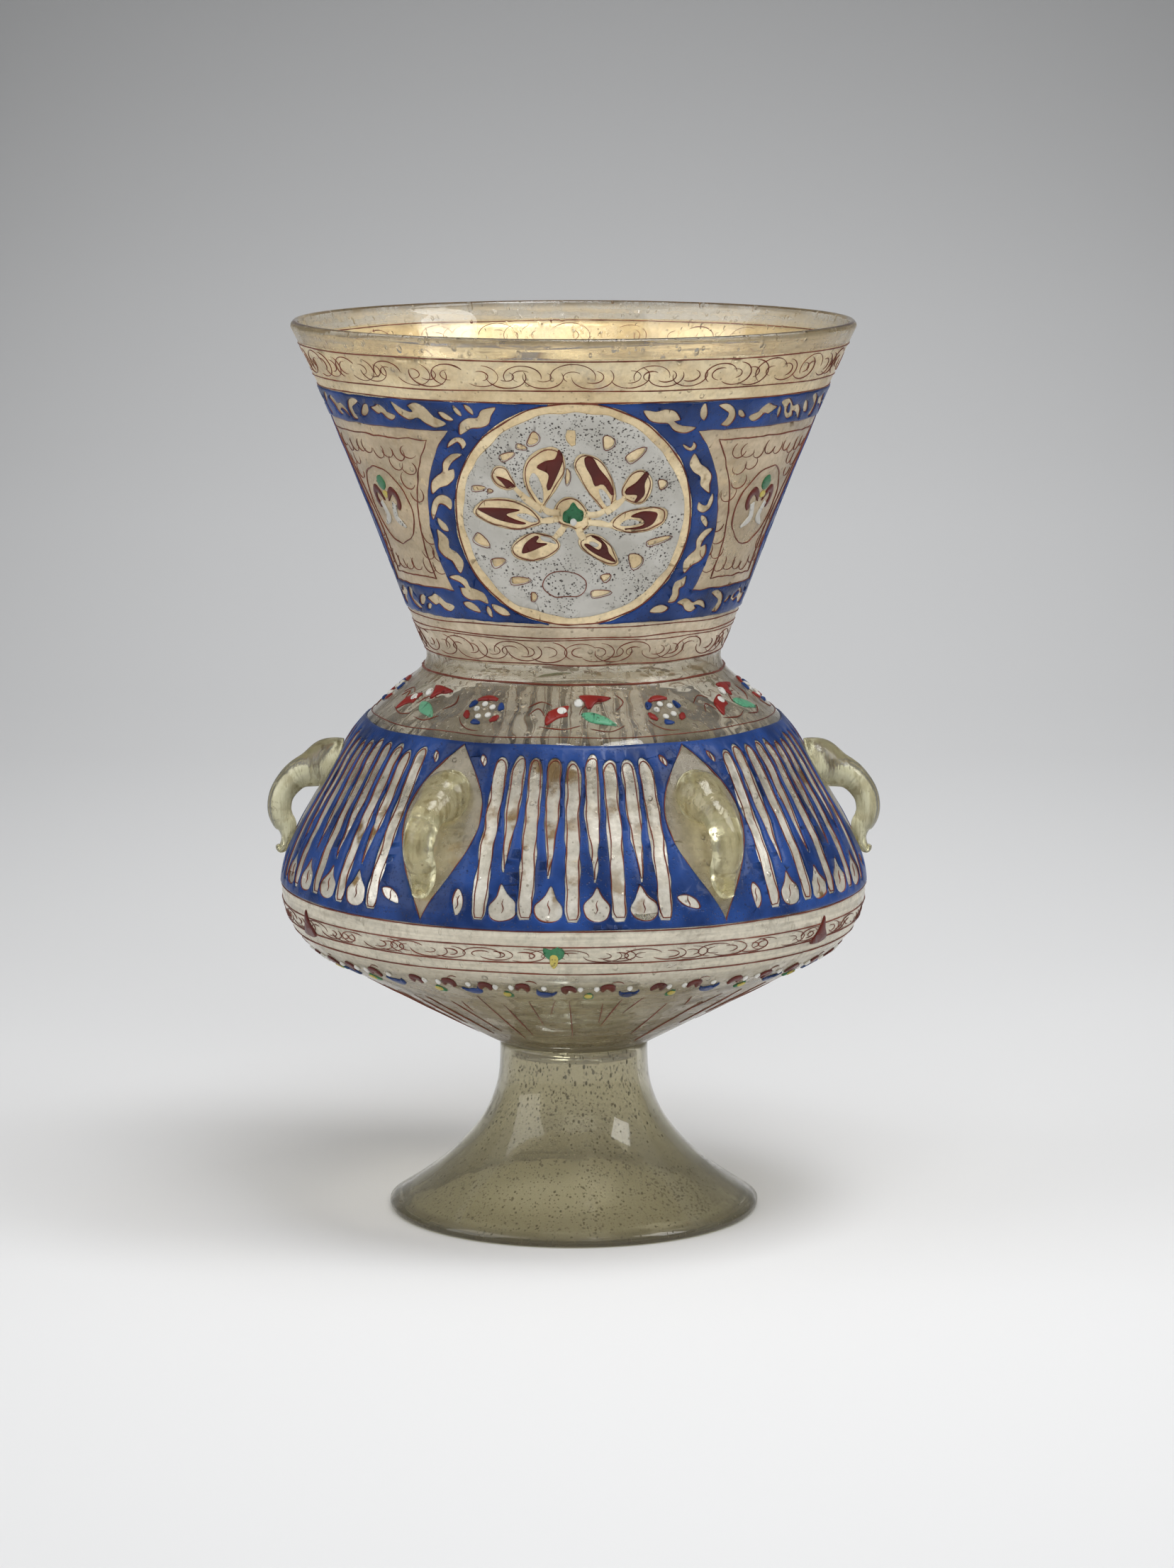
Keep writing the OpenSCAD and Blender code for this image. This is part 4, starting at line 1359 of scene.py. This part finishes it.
panel_strokes = []
lily_red, lily_white, lily_green, lily_yellow = [], [], [], []
for left in ROUNDEL_AZIMUTHS:
    azimuth = left + PANEL_SPAN / 2
    frame_line = framed(
        left, left + PANEL_SPAN, GILT_R + BORDER_W + PANEL_SIDE_INSET,
        NECK_Z0 + STRIP_W + PANEL_INSET, NECK_Z1 - STRIP_W - PANEL_INSET,
    )
    panel_strokes.append((unsteady(frame_line, 0.5), 0.5, True))
    ring = placed(oval(0, 0, MEDALLION_R, MEDALLION_R * 1.04), azimuth, ROUNDEL_Z)
    panel_strokes.append((unsteady(ring, 0.7), 0.5, True))
    for petal in (LILY_PETAL, mirrored(LILY_PETAL)):
        lily_red.append(placed(petal, azimuth, ROUNDEL_Z))
    for stem in (LILY_STEM, mirrored(LILY_STEM)):
        lily_white.append(placed(stem, azimuth, ROUNDEL_Z - 1.2))
    lily_green.append(placed(LILY_BUD, azimuth, ROUNDEL_Z))
    lily_yellow.append(placed(LILY_HEART, azimuth, ROUNDEL_Z))
    for row in range(-ARC_ROWS, ARC_ROWS + 1):
        for column in range(-ARC_COLUMNS, ARC_COLUMNS + 1):
            spot_z = ROUNDEL_Z + ARC_ROW * row + rng.uniform(-0.7, 0.7)
            off = ARC_COLUMN * (column + 0.5 * (row % 2)) + rng.uniform(-0.8, 0.8)
            edge = abs(off) + ARC_ROOM > PANEL_HALF + PANEL_SPREAD * (row / ARC_ROWS) ** 2
            if edge or math.hypot(off, spot_z - ROUNDEL_Z) < MEDALLION_R + MEDALLION_ROOM:
                continue
            tilt = rng.uniform(-40, 40)
            arc = oval(0, 0, rng.uniform(2.3, 3.2), rng.uniform(2.0, 2.8), 150 + tilt, 370 + tilt, 0.8)
            spot = azimuth + math.degrees(off / wall.at(spot_z)), spot_z
            panel_strokes.append((placed(arc, *spot), FINE_W * rng.uniform(0.6, 0.95), False))
pen("panel_red_lines", panel_strokes, line_red)
lay("lily_red", lily_red, red, 0.35, 0.25)
lay("lily_white", lily_white, white, 0.35, 0.25, lift=0.06)
lay("lily_green", lily_green, green, 0.35, 0.25)
lay("lily_yellow", lily_yellow, yellow, 0.3, 0.25, lift=0.08)

# %% [markdown]
# ## Lines and buds in the roundels
# Fine red lines follow the petals inside their gilt edges, and the flower's heart is a green
# bud with a white spot. The lines are the petals' own outlines, drawn in towards their middles.
# Those of the small leaves are drawn out a little instead, and lie on top of the white.

# %% Roundel details
PETAL_SHRINK = 0.9
DROP_GROW = 1.12
ON_WHITE = 0.55


def centre(shape):
    return sum((Vector(p) for p in shape), Vector((0, 0))) / len(shape)


def resized(shape, share):
    """A flat motif made smaller or larger about its own middle."""
    middle = centre(shape)
    return [tuple(middle + (Vector(p) - middle) * share) for p in shape]


GREEN_BUD = flow([
    (0, 4.2), (1.6, 2.2), (3.0, 1.0), (2.6, -1.6), (0.6, -2.0), (-0.6, -2.6), (-2.8, -1.8),
    (-2.8, 0.8), (-1.4, 2.0),
], 0.6)
BUD_SPOT = oval(0.1, -1.9, 1.0, 1.3, step=0.6)
LOWER_OVAL = oval(-2.4, -22.4, 6.4, 4.2)

roundel_strokes, drop_strokes, bud_green, bud_white = [], [], [], []
for azimuth in ROUNDEL_AZIMUTHS:
    for shape in PETALS + [BUD]:
        line = on_roundel(resized(shape, PETAL_SHRINK), azimuth)
        roundel_strokes.append((unsteady(line, 0.5), 0.32, True))
    oval_line = on_roundel(LOWER_OVAL, azimuth)
    drop_strokes.append((unsteady(oval_line, 0.6), 0.4, True))
    for row in LEAVES:
        drop = on_roundel(resized(leaf(*row), DROP_GROW), azimuth)
        drop_strokes.append((unsteady(drop, 0.3), 0.28, True))
    bud_green.append(on_roundel(GREEN_BUD, azimuth))
    bud_white.append(on_roundel(BUD_SPOT, azimuth))
pen("roundel_red_lines", roundel_strokes, line_red, 0.3)
pen("roundel_drop_lines", drop_strokes, line_red, ON_WHITE)
lay("bud_green", bud_green, green, 0.6, 0.6)
lay("bud_white", bud_white, white_dot, 0.4, 0.3, lift=0.35)

# %% [markdown]
# ## Lines on the belly
# Every stave, bud and almond has a red outline that wanders a little off the blue's edge, and
# each bud carries a vein.

# %% Belly lines
VEIN = flow([(-0.5, -2.6), (0.3, -1.0), (-0.2, 0.8), (0.4, 2.4)], 0.8, closed=False)

belly_strokes = outlined(stave_lines, 0.45, 0.55) + outlined(almond_outlines, 0.55, 0.35)
belly_strokes += outlined(bud_outlines, 0.5, 0.5)
for outline in bud_outlines:
    middle = centre(outline)
    azimuth = math.degrees(middle.x / SHEET_R)
    vein = placed(VEIN, azimuth, middle.y, 0.8, rng.uniform(-12, 12))
    belly_strokes.append((vein, 0.4, False))
belly_strokes += [ring_line(BELLY_Z0 - 0.4, 0.55), ring_line(BELLY_Z1 + 1.9, 0.4, 0.6)]
pen("belly_red_lines", belly_strokes, line_red)

# %% [markdown]
# ## Flowers on the shoulder
# On the clear shoulder rosettes of red and blue dots stand over the handles, and between them
# sprays of two red heart-shaped leaves and a pale green one, with white dots and thin tendrils.

# %% Shoulder flowers
SHOULDER_Z = 159.0
SHOULDER_LINE_Z = 166.4
HEART = flow([
    (-4.6, 1.6), (-3.2, 2.2), (0.5, 2.0), (4.8, 1.0), (2.6, -0.4), (0.2, -0.8), (-1.6, -3.2),
    (-2.8, -2.6), (-3.2, -0.6),
], 0.7)
SIDE_HEART = flow([
    (3.4, 3.4), (3.0, 1.0), (3.4, -0.6), (0.6, -1.6), (-2.6, -4.4), (-3.2, -2.2), (-2.4, 0.8),
    (0.6, 2.8),
], 0.7)
GREEN_LEAF = flow([(-4.8, 2.0), (-1.6, 2.6), (2.4, 0.6), (5.2, -2.6), (1.6, -2.2), (-2.6, -1.0)], 0.8)
TALL_DOT = oval(0, 0, 1.3, 1.5, step=0.5)
ROUND_DOT = oval(0, 0, 1.5, 1.5, step=0.5)
TENDRILS = [flow(points, 1.0, closed=False) for points in (
    [(-14, 3), (-9.5, 5.2), (-6.5, 3.4)], [(-13.5, -1), (-10.5, 1.8), (-8.5, -1.2)],
    [(-9.5, -5.4), (-2.5, -6.2), (2.6, -4.6)], [(1.5, -0.6), (3.5, 2.6), (8.6, 3.2)],
    [(13.6, 5.6), (15.6, 2.2), (13.2, -0.6)], [(4.6, -5.6), (10.6, -6.2), (14.6, -3.6)],
)]
ROSETTE_TAIL = oval(0, -1, 7.4, 7.0, 200, 280)
# Start and sweep of the red arcs, and directions of the leaves and dots, in degrees
ROSETTE_ARCS = ((62, 70), (186, 38), (308, 34))
ROSETTE_LEAVES = (20, 150, 258)
ROSETTE_DOTS = (35, 105, 170, 250, 320)


def on_oval(turn, wide, tall):
    """The point of an oval in a direction in degrees."""
    return wide * math.cos(math.radians(turn)), tall * math.sin(math.radians(turn))


shoulder_red, shoulder_green, shoulder_blue, shoulder_dots = [], [], [], []
shoulder_strokes = []
for k in range(HANDLE_COUNT):
    spray = SECTOR * k + rng.uniform(-1, 1)
    shoulder_red.append(placed(HEART, spray + 7.2, SHOULDER_Z + 3.2))
    shoulder_red.append(placed(SIDE_HEART, spray - 5.4, SHOULDER_Z - 0.2))
    shoulder_green.append(placed(GREEN_LEAF, spray + 7.4, SHOULDER_Z - 1.4))
    shoulder_dots.append(placed(TALL_DOT, spray + 1.6, SHOULDER_Z + 2.6))
    shoulder_dots.append(placed(ROUND_DOT, spray - 3.8, SHOULDER_Z + 0.6))
    for tendril in TENDRILS:
        line = placed(tendril, spray + rng.uniform(-1, 1), SHOULDER_Z, 1.0, rng.uniform(-8, 8))
        shoulder_strokes.append((line, FINE_W * 1.15, False))
    rosette = spray + SECTOR / 2
    for turn, reach in ROSETTE_ARCS:
        arc = oval(0, 0, 5.6, 5.0, turn, turn + reach)
        shoulder_red.append(placed(brush(arc, [0.5, 1.1, 0.5]), rosette, SHOULDER_Z))
    for turn in ROSETTE_LEAVES:
        small_leaf = leaf(*on_oval(turn, 5.2, 4.8), 3.2, 2.0, turn + 90)
        shoulder_blue.append(placed(small_leaf, rosette, SHOULDER_Z))
    for turn in ROSETTE_DOTS:
        dot = oval(*on_oval(turn, 2.7, 2.6), 0.95, 0.95, step=0.4)
        shoulder_dots.append(placed(dot, rosette, SHOULDER_Z))
    tail = placed(ROSETTE_TAIL, rosette, SHOULDER_Z)
    shoulder_strokes.append((tail, FINE_W * 0.9, False))
shoulder_strokes.append(ring_line(SHOULDER_LINE_Z, 0.85, 0.5))
lay("shoulder_red", shoulder_red, bright_red, 0.5, 0.4)
lay("shoulder_green", shoulder_green, pale_green, 0.45, 0.4)
lay("shoulder_blue", shoulder_blue, blue, 0.6, 0.5)
lay("shoulder_dots", shoulder_dots, white_dot, 0.7, 0.45)
pen("shoulder_red_lines", shoulder_strokes, line_red)

# %% [markdown]
# ## Under the belly
# Below the widest ring come a gilt band between red lines, a row of small florets, and thin
# red rays that run down towards the foot.

# %% Florets
FLORET_Z = 82.6
FLORET_SIZE = 1.02
FLORET_COUNT = 20
FLORET_FIRST = 4
FLORET_STEP = 360 / FLORET_COUNT
COMMA = flow([
    (-2.9, 2.0), (-1.2, 3.0), (0.9, 2.0), (1.3, -0.8), (0.3, -1.4), (-0.7, 0.4), (-1.9, -2.0),
    (-3.0, -0.8),
], 0.6)
OTHER_COMMA = mirrored(COMMA)
CRESCENT = flow([
    (-2.9, 1.6), (-1.6, 0.2), (0, 0.5), (1.6, 0.2), (2.9, 1.8), (2.3, -1.8), (0, -3.4), (-2.3, -1.8),
], 0.6)
FLORET_LEAF = leaf(0, 0, 4.8, 3.0, 90)
FLORET_HEART = oval(0, 0, 1.2, 1.6, step=0.4)
FLORET_DOT = oval(0, 0, 0.8, 1.2, step=0.4)
CRESCENT_DOT = oval(0, 0, 0.8, 1.0, step=0.4)

floret_red, floret_white, floret_green, floret_yellow, floret_blue = [], [], [], [], []
low_strokes = []
for i in range(FLORET_COUNT):
    azimuth = FLORET_FIRST + FLORET_STEP * i + rng.uniform(-1.2, 1.2)
    z = FLORET_Z + rng.uniform(-0.5, 0.5)
    floret_red.append(placed(COMMA, azimuth - 3.2, z, FLORET_SIZE, rng.uniform(-15, 15)))
    floret_red.append(placed(OTHER_COMMA, azimuth + 3.6, z + 0.3, FLORET_SIZE, rng.uniform(-15, 15)))
    floret_white.append(placed(FLORET_DOT, azimuth - 1.5, z + 0.5))
    floret_white.append(placed(FLORET_DOT, azimuth + 1.9, z + 0.6))
    floret_green.append(placed(FLORET_LEAF, azimuth + 0.4, z - 2.7))
    floret_yellow.append(placed(FLORET_HEART, azimuth + 0.3, z - 2.2))
    floret_blue.append(placed(CRESCENT, azimuth + 9, z - 1.4, FLORET_SIZE, rng.uniform(-20, 20)))
    floret_white.append(placed(CRESCENT_DOT, azimuth + 8.8, z + 0.6))
    tendril = oval(0, 0, 2.2, 2.4, rng.uniform(20, 60), rng.uniform(120, 170), 0.8)
    low_strokes.append((placed(tendril, azimuth + 6, z + 1.4), FINE_W * 0.8, False))

# %% Gilt band and rays
LOW_LINES = (96.4, 91.6, 88.2)
DAB_Z = 94.0
DAB_OFF = 3.6
RAY_COUNT = 60
RAY_SHARES = (0, 0.25, 0.5, 0.75, 1)
RAY_TOP = (72, 78.5)
RAY_DROP = (4, 20)
RAY_DRIFT = (-2.5, 2.5)
RED_DAB = flow([
    (0.2, 3.6), (1.2, 0.8), (3.0, -1.6), (1.6, -2.6), (-1.4, -2.8), (-3.4, -2.2), (-1.4, 0.6),
], 0.7)
GREEN_DAB = flow([
    (-2.4, 2.0), (-0.6, 1.6), (0.8, 2.4), (2.4, 1.4), (2.0, -0.4), (0, -1.2), (-2.0, 0),
], 0.7)
YELLOW_DAB = flow([(-1.0, 0.2), (0.4, 0.6), (1.3, -0.4), (0.8, -3.0), (-0.2, -3.8), (-1.1, -2.4)], 0.6)

for k in range(HANDLE_COUNT):
    azimuth = SECTOR * k - DAB_OFF
    if k % 2:
        floret_red.append(placed(RED_DAB, azimuth, DAB_Z, 1.35))
    else:
        floret_green.append(placed(GREEN_DAB, azimuth, DAB_Z, 1.25))
        floret_yellow.append(placed(YELLOW_DAB, azimuth, DAB_Z))
for height in LOW_LINES:
    low_strokes.append(ring_line(height, 0.5, 0.5))
low_strokes += scrolls(LOW_LINES[1] + 0.4, LOW_LINES[0] - 0.4, 7.0)
for i in range(RAY_COUNT):
    azimuth = 360 / RAY_COUNT * (i + rng.uniform(-0.3, 0.3))
    top = rng.uniform(*RAY_TOP)
    drop = rng.uniform(*RAY_DROP)
    drift = rng.uniform(*RAY_DRIFT)
    ray = [(SHEET_R * math.radians(azimuth + drift * t), top - drop * t) for t in RAY_SHARES]
    low_strokes.append((flow(ray, 1.5, closed=False), FINE_W * rng.uniform(0.9, 1.3), False))
lay("floret_red", floret_red, red, 0.5, 0.35)
lay("floret_white", floret_white, white_dot, 0.7, 0.35)
lay("floret_green", floret_green, green, 0.45, 0.35)
lay("floret_yellow", floret_yellow, yellow, 0.5, 0.3, lift=0.2)
lay("floret_blue", floret_blue, blue, 0.5, 0.4)
pen("under_belly_red_lines", low_strokes, line_red)

# %% [markdown]
# ## The oil cup
# A small plain cup of paler glass stands on the floor of the vessel and holds water and oil.
# It is turned like the vessel, with a rounded lip and a slightly hollow base.

# %% Oil cup
def cup_glass():
    finish = seeded_glass("cup_glass", paint(0.88, 0.91, 0.88), 240, (1, 1, 0.6))
    glass = finish.shader(
        Base_Color=finish.colour, Roughness=finish.grain(80) * 0.08 + 0.02, IOR=1.47,
        Transmission_Weight=1.0, Normal=finish.normal,
    )
    return finish.done(finish.lets_light_through(glass, paint(0.93, 0.95, 0.93)))


cup_low, cup_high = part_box("oil_cup")
CUP_Z0, CUP_Z1 = cup_low.z / MM, cup_high.z / MM
CUP_RIM_R = cup_high.x / MM
CUP_BASE_R = 17.0
CUP_WALL = 2.0
CUP_FLOOR = 3.0
CUP_SIDES = 96
CUP_STEP = 2
LIP = CUP_WALL / 2
LIP_Z = CUP_Z1 - LIP
LIP_STEPS = 8


def cup_r(z):
    return CUP_BASE_R + (CUP_RIM_R - CUP_BASE_R) * (z - CUP_Z0) / (CUP_Z1 - CUP_Z0)


cup_line = [
    (0, CUP_Z0 + 0.5), (CUP_BASE_R - 4, CUP_Z0 + 0.4), (CUP_BASE_R - 2, CUP_Z0),
    (CUP_BASE_R - 0.7, CUP_Z0),
]
cup_line += [(cup_r(z), z) for z in heights(CUP_Z0 + 0.8, LIP_Z, CUP_STEP)]
for i in range(1, LIP_STEPS):
    turn = math.pi * i / LIP_STEPS
    cup_line.append((cup_r(LIP_Z) - LIP + LIP * math.cos(turn), LIP_Z + LIP * math.sin(turn)))
hollow_z = heights(CUP_Z0 + CUP_FLOOR + 2, LIP_Z, CUP_STEP)
cup_line += [(cup_r(z) - CUP_WALL, z) for z in reversed(hollow_z)]
cup_line += [(CUP_BASE_R - CUP_WALL - 1.6, CUP_Z0 + CUP_FLOOR + 0.2), (0, CUP_Z0 + CUP_FLOOR)]
new_piece(
    "oil_cup_glass", turned(cup_line, CUP_SIDES), cup_glass(), "oil_cup",
    replaced=["oil_cup"],
)

# %% [markdown]
# ## The wick holder
# A three-armed bridge cut from sheet brass lies on the cup's rim, with its ends turned down.
# It is made as a metalworker would: a flat blank, arms drawn out of it and their ends folded.
# The sheet gets its thickness last, so the folds stay square.

# %% Brass
def brass():
    finish = Finish("wick_brass")
    tarnish = finish.ease(finish.grain(130, 5.0), 0.4, 0.7)
    scratches = finish.grain(900, 2.0, finish.stretched(1, 0.2, 1))
    surface = finish.shader(
        Base_Color=finish.blend(tarnish, paint(0.70, 0.50, 0.20), paint(0.33, 0.22, 0.09)),
        Metallic=1.0, Roughness=tarnish * 0.25 + 0.26, Normal=finish.bump(scratches, 0.00008),
    )
    return finish.done(surface)


wick_brass = brass()

# %% Bridge
BRIDGE_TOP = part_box("wick_bridge")[1].z / MM
BRIDGE_T = 1.2
BRIDGE_R = 26.6
ARM_AZIMUTHS = (60, 180, 300)
ARM_W = 5.0
ARM_ROOM = 0.3
ARM_FOLD = 6.0
HUB_R = 5.9
HOLE_R = 3.5
HUB_SIDES = 36


def bridge():
    bm = bmesh.new()
    reach = BRIDGE_R - BRIDGE_T / 2
    hub = bmesh.ops.create_circle(bm, segments=HUB_SIDES, radius=HUB_R)["verts"]
    bmesh.ops.create_circle(bm, segments=HUB_SIDES, radius=HOLE_R)
    bmesh.ops.bridge_loops(bm, edges=bm.edges[:])
    for azimuth in ARM_AZIMUTHS:
        turn = math.radians(azimuth - 90)
        way = Vector((math.cos(turn), math.sin(turn), 0))
        side = Vector((-way.y, way.x, 0))
        ahead = [v for v in hub if v.co.dot(way) > 0]
        near = {v for v in ahead if abs(v.co.dot(side)) < ARM_W / 2 + ARM_ROOM}
        root = [edge for edge in bm.edges if edge.is_boundary and set(edge.verts) <= near]
        for drop in (0, -ARM_FOLD - BRIDGE_T / 2):
            grown = bmesh.ops.extrude_edge_only(bm, edges=root)["geom"]
            root = [part for part in grown if isinstance(part, bmesh.types.BMEdge)]
            for vert in {v for edge in root for v in edge.verts}:
                across = max(-ARM_W / 2, min(ARM_W / 2, vert.co.dot(side)))
                vert.co = way * reach + side * across + Vector((0, 0, drop))
    bmesh.ops.recalc_face_normals(bm, faces=bm.faces[:])
    if sum(face.normal.z for face in bm.faces) < 0:
        bmesh.ops.reverse_faces(bm, faces=bm.faces[:])
    bmesh.ops.solidify(bm, geom=bm.faces[:], thickness=-BRIDGE_T / 2)
    bmesh.ops.translate(bm, vec=(0, 0, BRIDGE_TOP - BRIDGE_T / 2), verts=bm.verts[:])
    bmesh.ops.transform(bm, matrix=Matrix.Scale(MM, 4), verts=bm.verts[:])
    return bm


new_piece("brass_bridge", bridge(), wick_brass, "wick_holder", replaced=["wick_bridge"])

# %% Wick tube
tube_low, tube_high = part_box("wick_tube")
TUBE_SIDES = 48
TUBE_R = 3.4
BORE_R = 2.6
COLLAR_R = tube_high.x / MM
COLLAR_H = 1.5
TUBE_Z0, TUBE_Z1 = tube_low.z / MM, tube_high.z / MM
COLLAR_Z = BRIDGE_TOP
tube_line = [
    (BORE_R, TUBE_Z0 + 0.15), (BORE_R + 0.15, TUBE_Z0), (TUBE_R - 0.2, TUBE_Z0),
    (TUBE_R, TUBE_Z0 + 0.2), (TUBE_R, COLLAR_Z), (COLLAR_R - 0.3, COLLAR_Z), (COLLAR_R, COLLAR_Z + 0.3),
    (COLLAR_R, COLLAR_Z + COLLAR_H - 0.4), (COLLAR_R - 0.4, COLLAR_Z + COLLAR_H),
    (TUBE_R + 0.15, COLLAR_Z + COLLAR_H), (TUBE_R, COLLAR_Z + COLLAR_H + 0.2),
    (TUBE_R, TUBE_Z1 - 0.25), (TUBE_R - 0.25, TUBE_Z1), (BORE_R + 0.15, TUBE_Z1),
    (BORE_R, TUBE_Z1 - 0.15),
]
new_piece(
    "brass_tube", turned(tube_line, TUBE_SIDES, closed=True), wick_brass,
    "wick_holder", replaced=["wick_tube"],
)

# %% [markdown]
# ## The wick
# A cotton cord of three twisted strands. A circle with three lobes is extruded upwards in
# small steps, and every step turns it a little, so the strands wind round each other. The
# upper end is charred.

# %% Cotton
CHAR_Z = (108.5, 111.5)


def cotton():
    finish = Finish("wick_cotton")
    fibre = finish.grain(1800, 4.0, finish.stretched(1, 1, 0.3))
    charred = finish.ease(finish.height() + finish.grain(600) * 4, *CHAR_Z)
    clean = finish.blend(fibre, paint(0.56, 0.50, 0.38), paint(0.82, 0.77, 0.66))
    surface = finish.shader(
        Base_Color=finish.blend(charred, clean, paint(0.03, 0.026, 0.024)), Roughness=0.9,
        Normal=finish.bump(fibre, 0.0004),
    )
    return finish.done(surface)


# %% Wick
wick_low, wick_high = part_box("wick")
WICK_R = wick_high.x
WICK_STEP = 0.0008
WICK_TWIST = math.radians(14)
WICK_SIDES = 30
WICK_CORE = 0.86
LOBES = 3
LOBE_DEPTH = 0.13


def wick():
    bm = bmesh.new()
    ring = bmesh.ops.create_circle(
        bm, cap_ends=True, segments=WICK_SIDES, radius=WICK_R * WICK_CORE,
        matrix=Matrix.Translation((0, 0, wick_low.z)),
    )
    for vert in ring["verts"]:
        vert.co.xy *= 1 + LOBE_DEPTH * math.cos(LOBES * math.atan2(vert.co.y, vert.co.x))
    face = bm.faces[:][0]
    steps = round((wick_high.z - wick_low.z) / WICK_STEP)
    rise = Matrix.Translation((0, 0, (wick_high.z - wick_low.z) / steps))
    twist = Matrix.Rotation(WICK_TWIST, 4, "Z")
    for _ in range(steps):
        face = bmesh.ops.extrude_discrete_faces(bm, faces=[face])["faces"][0]
        bmesh.ops.transform(bm, matrix=rise @ twist, verts=face.verts[:])
    bmesh.ops.holes_fill(bm, edges=[edge for edge in bm.edges if edge.is_boundary])
    bmesh.ops.recalc_face_normals(bm, faces=bm.faces[:])
    return bm


new_piece("cotton_wick", wick(), cotton(), "wick_holder", replaced=["wick"])

# %% [markdown]
# ## Floor, backdrop and light
# A studio sweep: a pale floor that bends up into a wall far behind the lamp, so no edge
# shows. It is an edge extruded sideways, with the bend as an arc. Its colour holds painted
# shade: the sweep darkens with distance and towards the sides, as it does in the photograph,
# where the light is kept near the lamp.

# %% Sweep
SWEEP_HALF = 7.0
SWEEP_FRONT = -5.0
BEND_START = 0.9
BEND_R = 1.3
BEND_STEPS = 16
WALL_TOP = 3.2
SIDE_SHADE = 0.3
SWEEP_NEAR = -0.4
SWEEP_DEPTH = 2.6
# Grey of painted shade on the paper at distances along it, in metres: darker far from the lamps
SWEEP_SHADE_GREYS = (
    (-0.40, 0.73), (-0.14, 0.81), (0.12, 0.83), (0.40, 0.82), (0.92, 0.87), (1.16, 0.86),
    (1.36, 0.84), (1.69, 0.73), (2.00, 0.58), (2.20, 0.48),
)


def sweep():
    bm = bmesh.new()
    line = [(SWEEP_FRONT, 0.0), (-1.0, 0.0), (0.0, 0.0)]
    for i in range(BEND_STEPS + 1):
        turn = math.pi / 2 * i / BEND_STEPS
        line.append((BEND_START + BEND_R * math.sin(turn), BEND_R - BEND_R * math.cos(turn)))
    line.append((BEND_START + BEND_R, WALL_TOP))
    row = [bm.verts.new((-SWEEP_HALF, y, z)) for y, z in line]
    edges = [bm.edges.new(pair) for pair in zip(row, row[1:])]
    grown = bmesh.ops.extrude_edge_only(bm, edges=edges)["geom"]
    far_side = [part for part in grown if isinstance(part, bmesh.types.BMVert)]
    bmesh.ops.translate(bm, vec=(2 * SWEEP_HALF, 0, 0), verts=far_side)
    bmesh.ops.recalc_face_normals(bm, faces=bm.faces[:])
    mesh = bpy.data.meshes.new("studio_sweep")
    for face in bm.faces:
        face.smooth = True
    bm.to_mesh(mesh)
    bm.free()
    return bpy.data.objects.new("studio_sweep", mesh)


def shaded_sweep_paper():
    finish = Finish("shaded_sweep_paper")
    stops = [((far - SWEEP_NEAR) / SWEEP_DEPTH, grey(value)) for far, value in SWEEP_SHADE_GREYS]
    depth = finish.along("Y") + finish.along("Z")
    # Painted shade: the paper's grey falls off with distance along the sweep
    shade = finish.ramp((depth - SWEEP_NEAR) * (1 / SWEEP_DEPTH), stops)
    # Painted shade: the paper darkens towards the sides as well
    side = finish.along("X") - 0.03
    darker = finish.maths("MINIMUM", side * side * 1.7, SIDE_SHADE)
    shade = finish.blend(darker, shade, grey(0.1))
    return finish.done(finish.shader(Base_Color=shade, Roughness=0.8, Specular_IOR_Level=0.2))


backdrop = sweep()
backdrop.data.materials.append(shaded_sweep_paper())
scene.collection.objects.link(backdrop)

# %% Lamps
LAMP_AIM = Vector((0, 0, 0.14))


def softbox(name, at, wide, tall, watts):
    data = bpy.data.lights.new(name, "AREA")
    data.shape = "RECTANGLE"
    data.size = wide
    data.size_y = tall
    data.energy = watts
    lamp = bpy.data.objects.new(name, data)
    lamp.location = at
    lamp.rotation_euler = (LAMP_AIM - Vector(at)).to_track_quat("-Z", "Y").to_euler()
    scene.collection.objects.link(lamp)
    return lamp


softbox("left_softbox", (-1.25, -0.45, 0.95), 1.1, 1.5, 7.5)
softbox("right_softbox", (1.2, -0.4, 1.25), 0.6, 0.9, 7)
softbox("top_softbox", (0.28, -0.3, 1.85), 0.8, 0.7, 14)
softbox("front_softbox", (0.15, -1.45, 1.35), 1.6, 0.9, 11).visible_glossy = False

world = bpy.data.worlds.new("studio")
world.use_nodes = True
background = world.node_tree.nodes["Background"].inputs
background["Color"].default_value = paint(0.9, 0.92, 0.95)
background["Strength"].default_value = 0.32
scene.world = world
print("softboxes: 4")
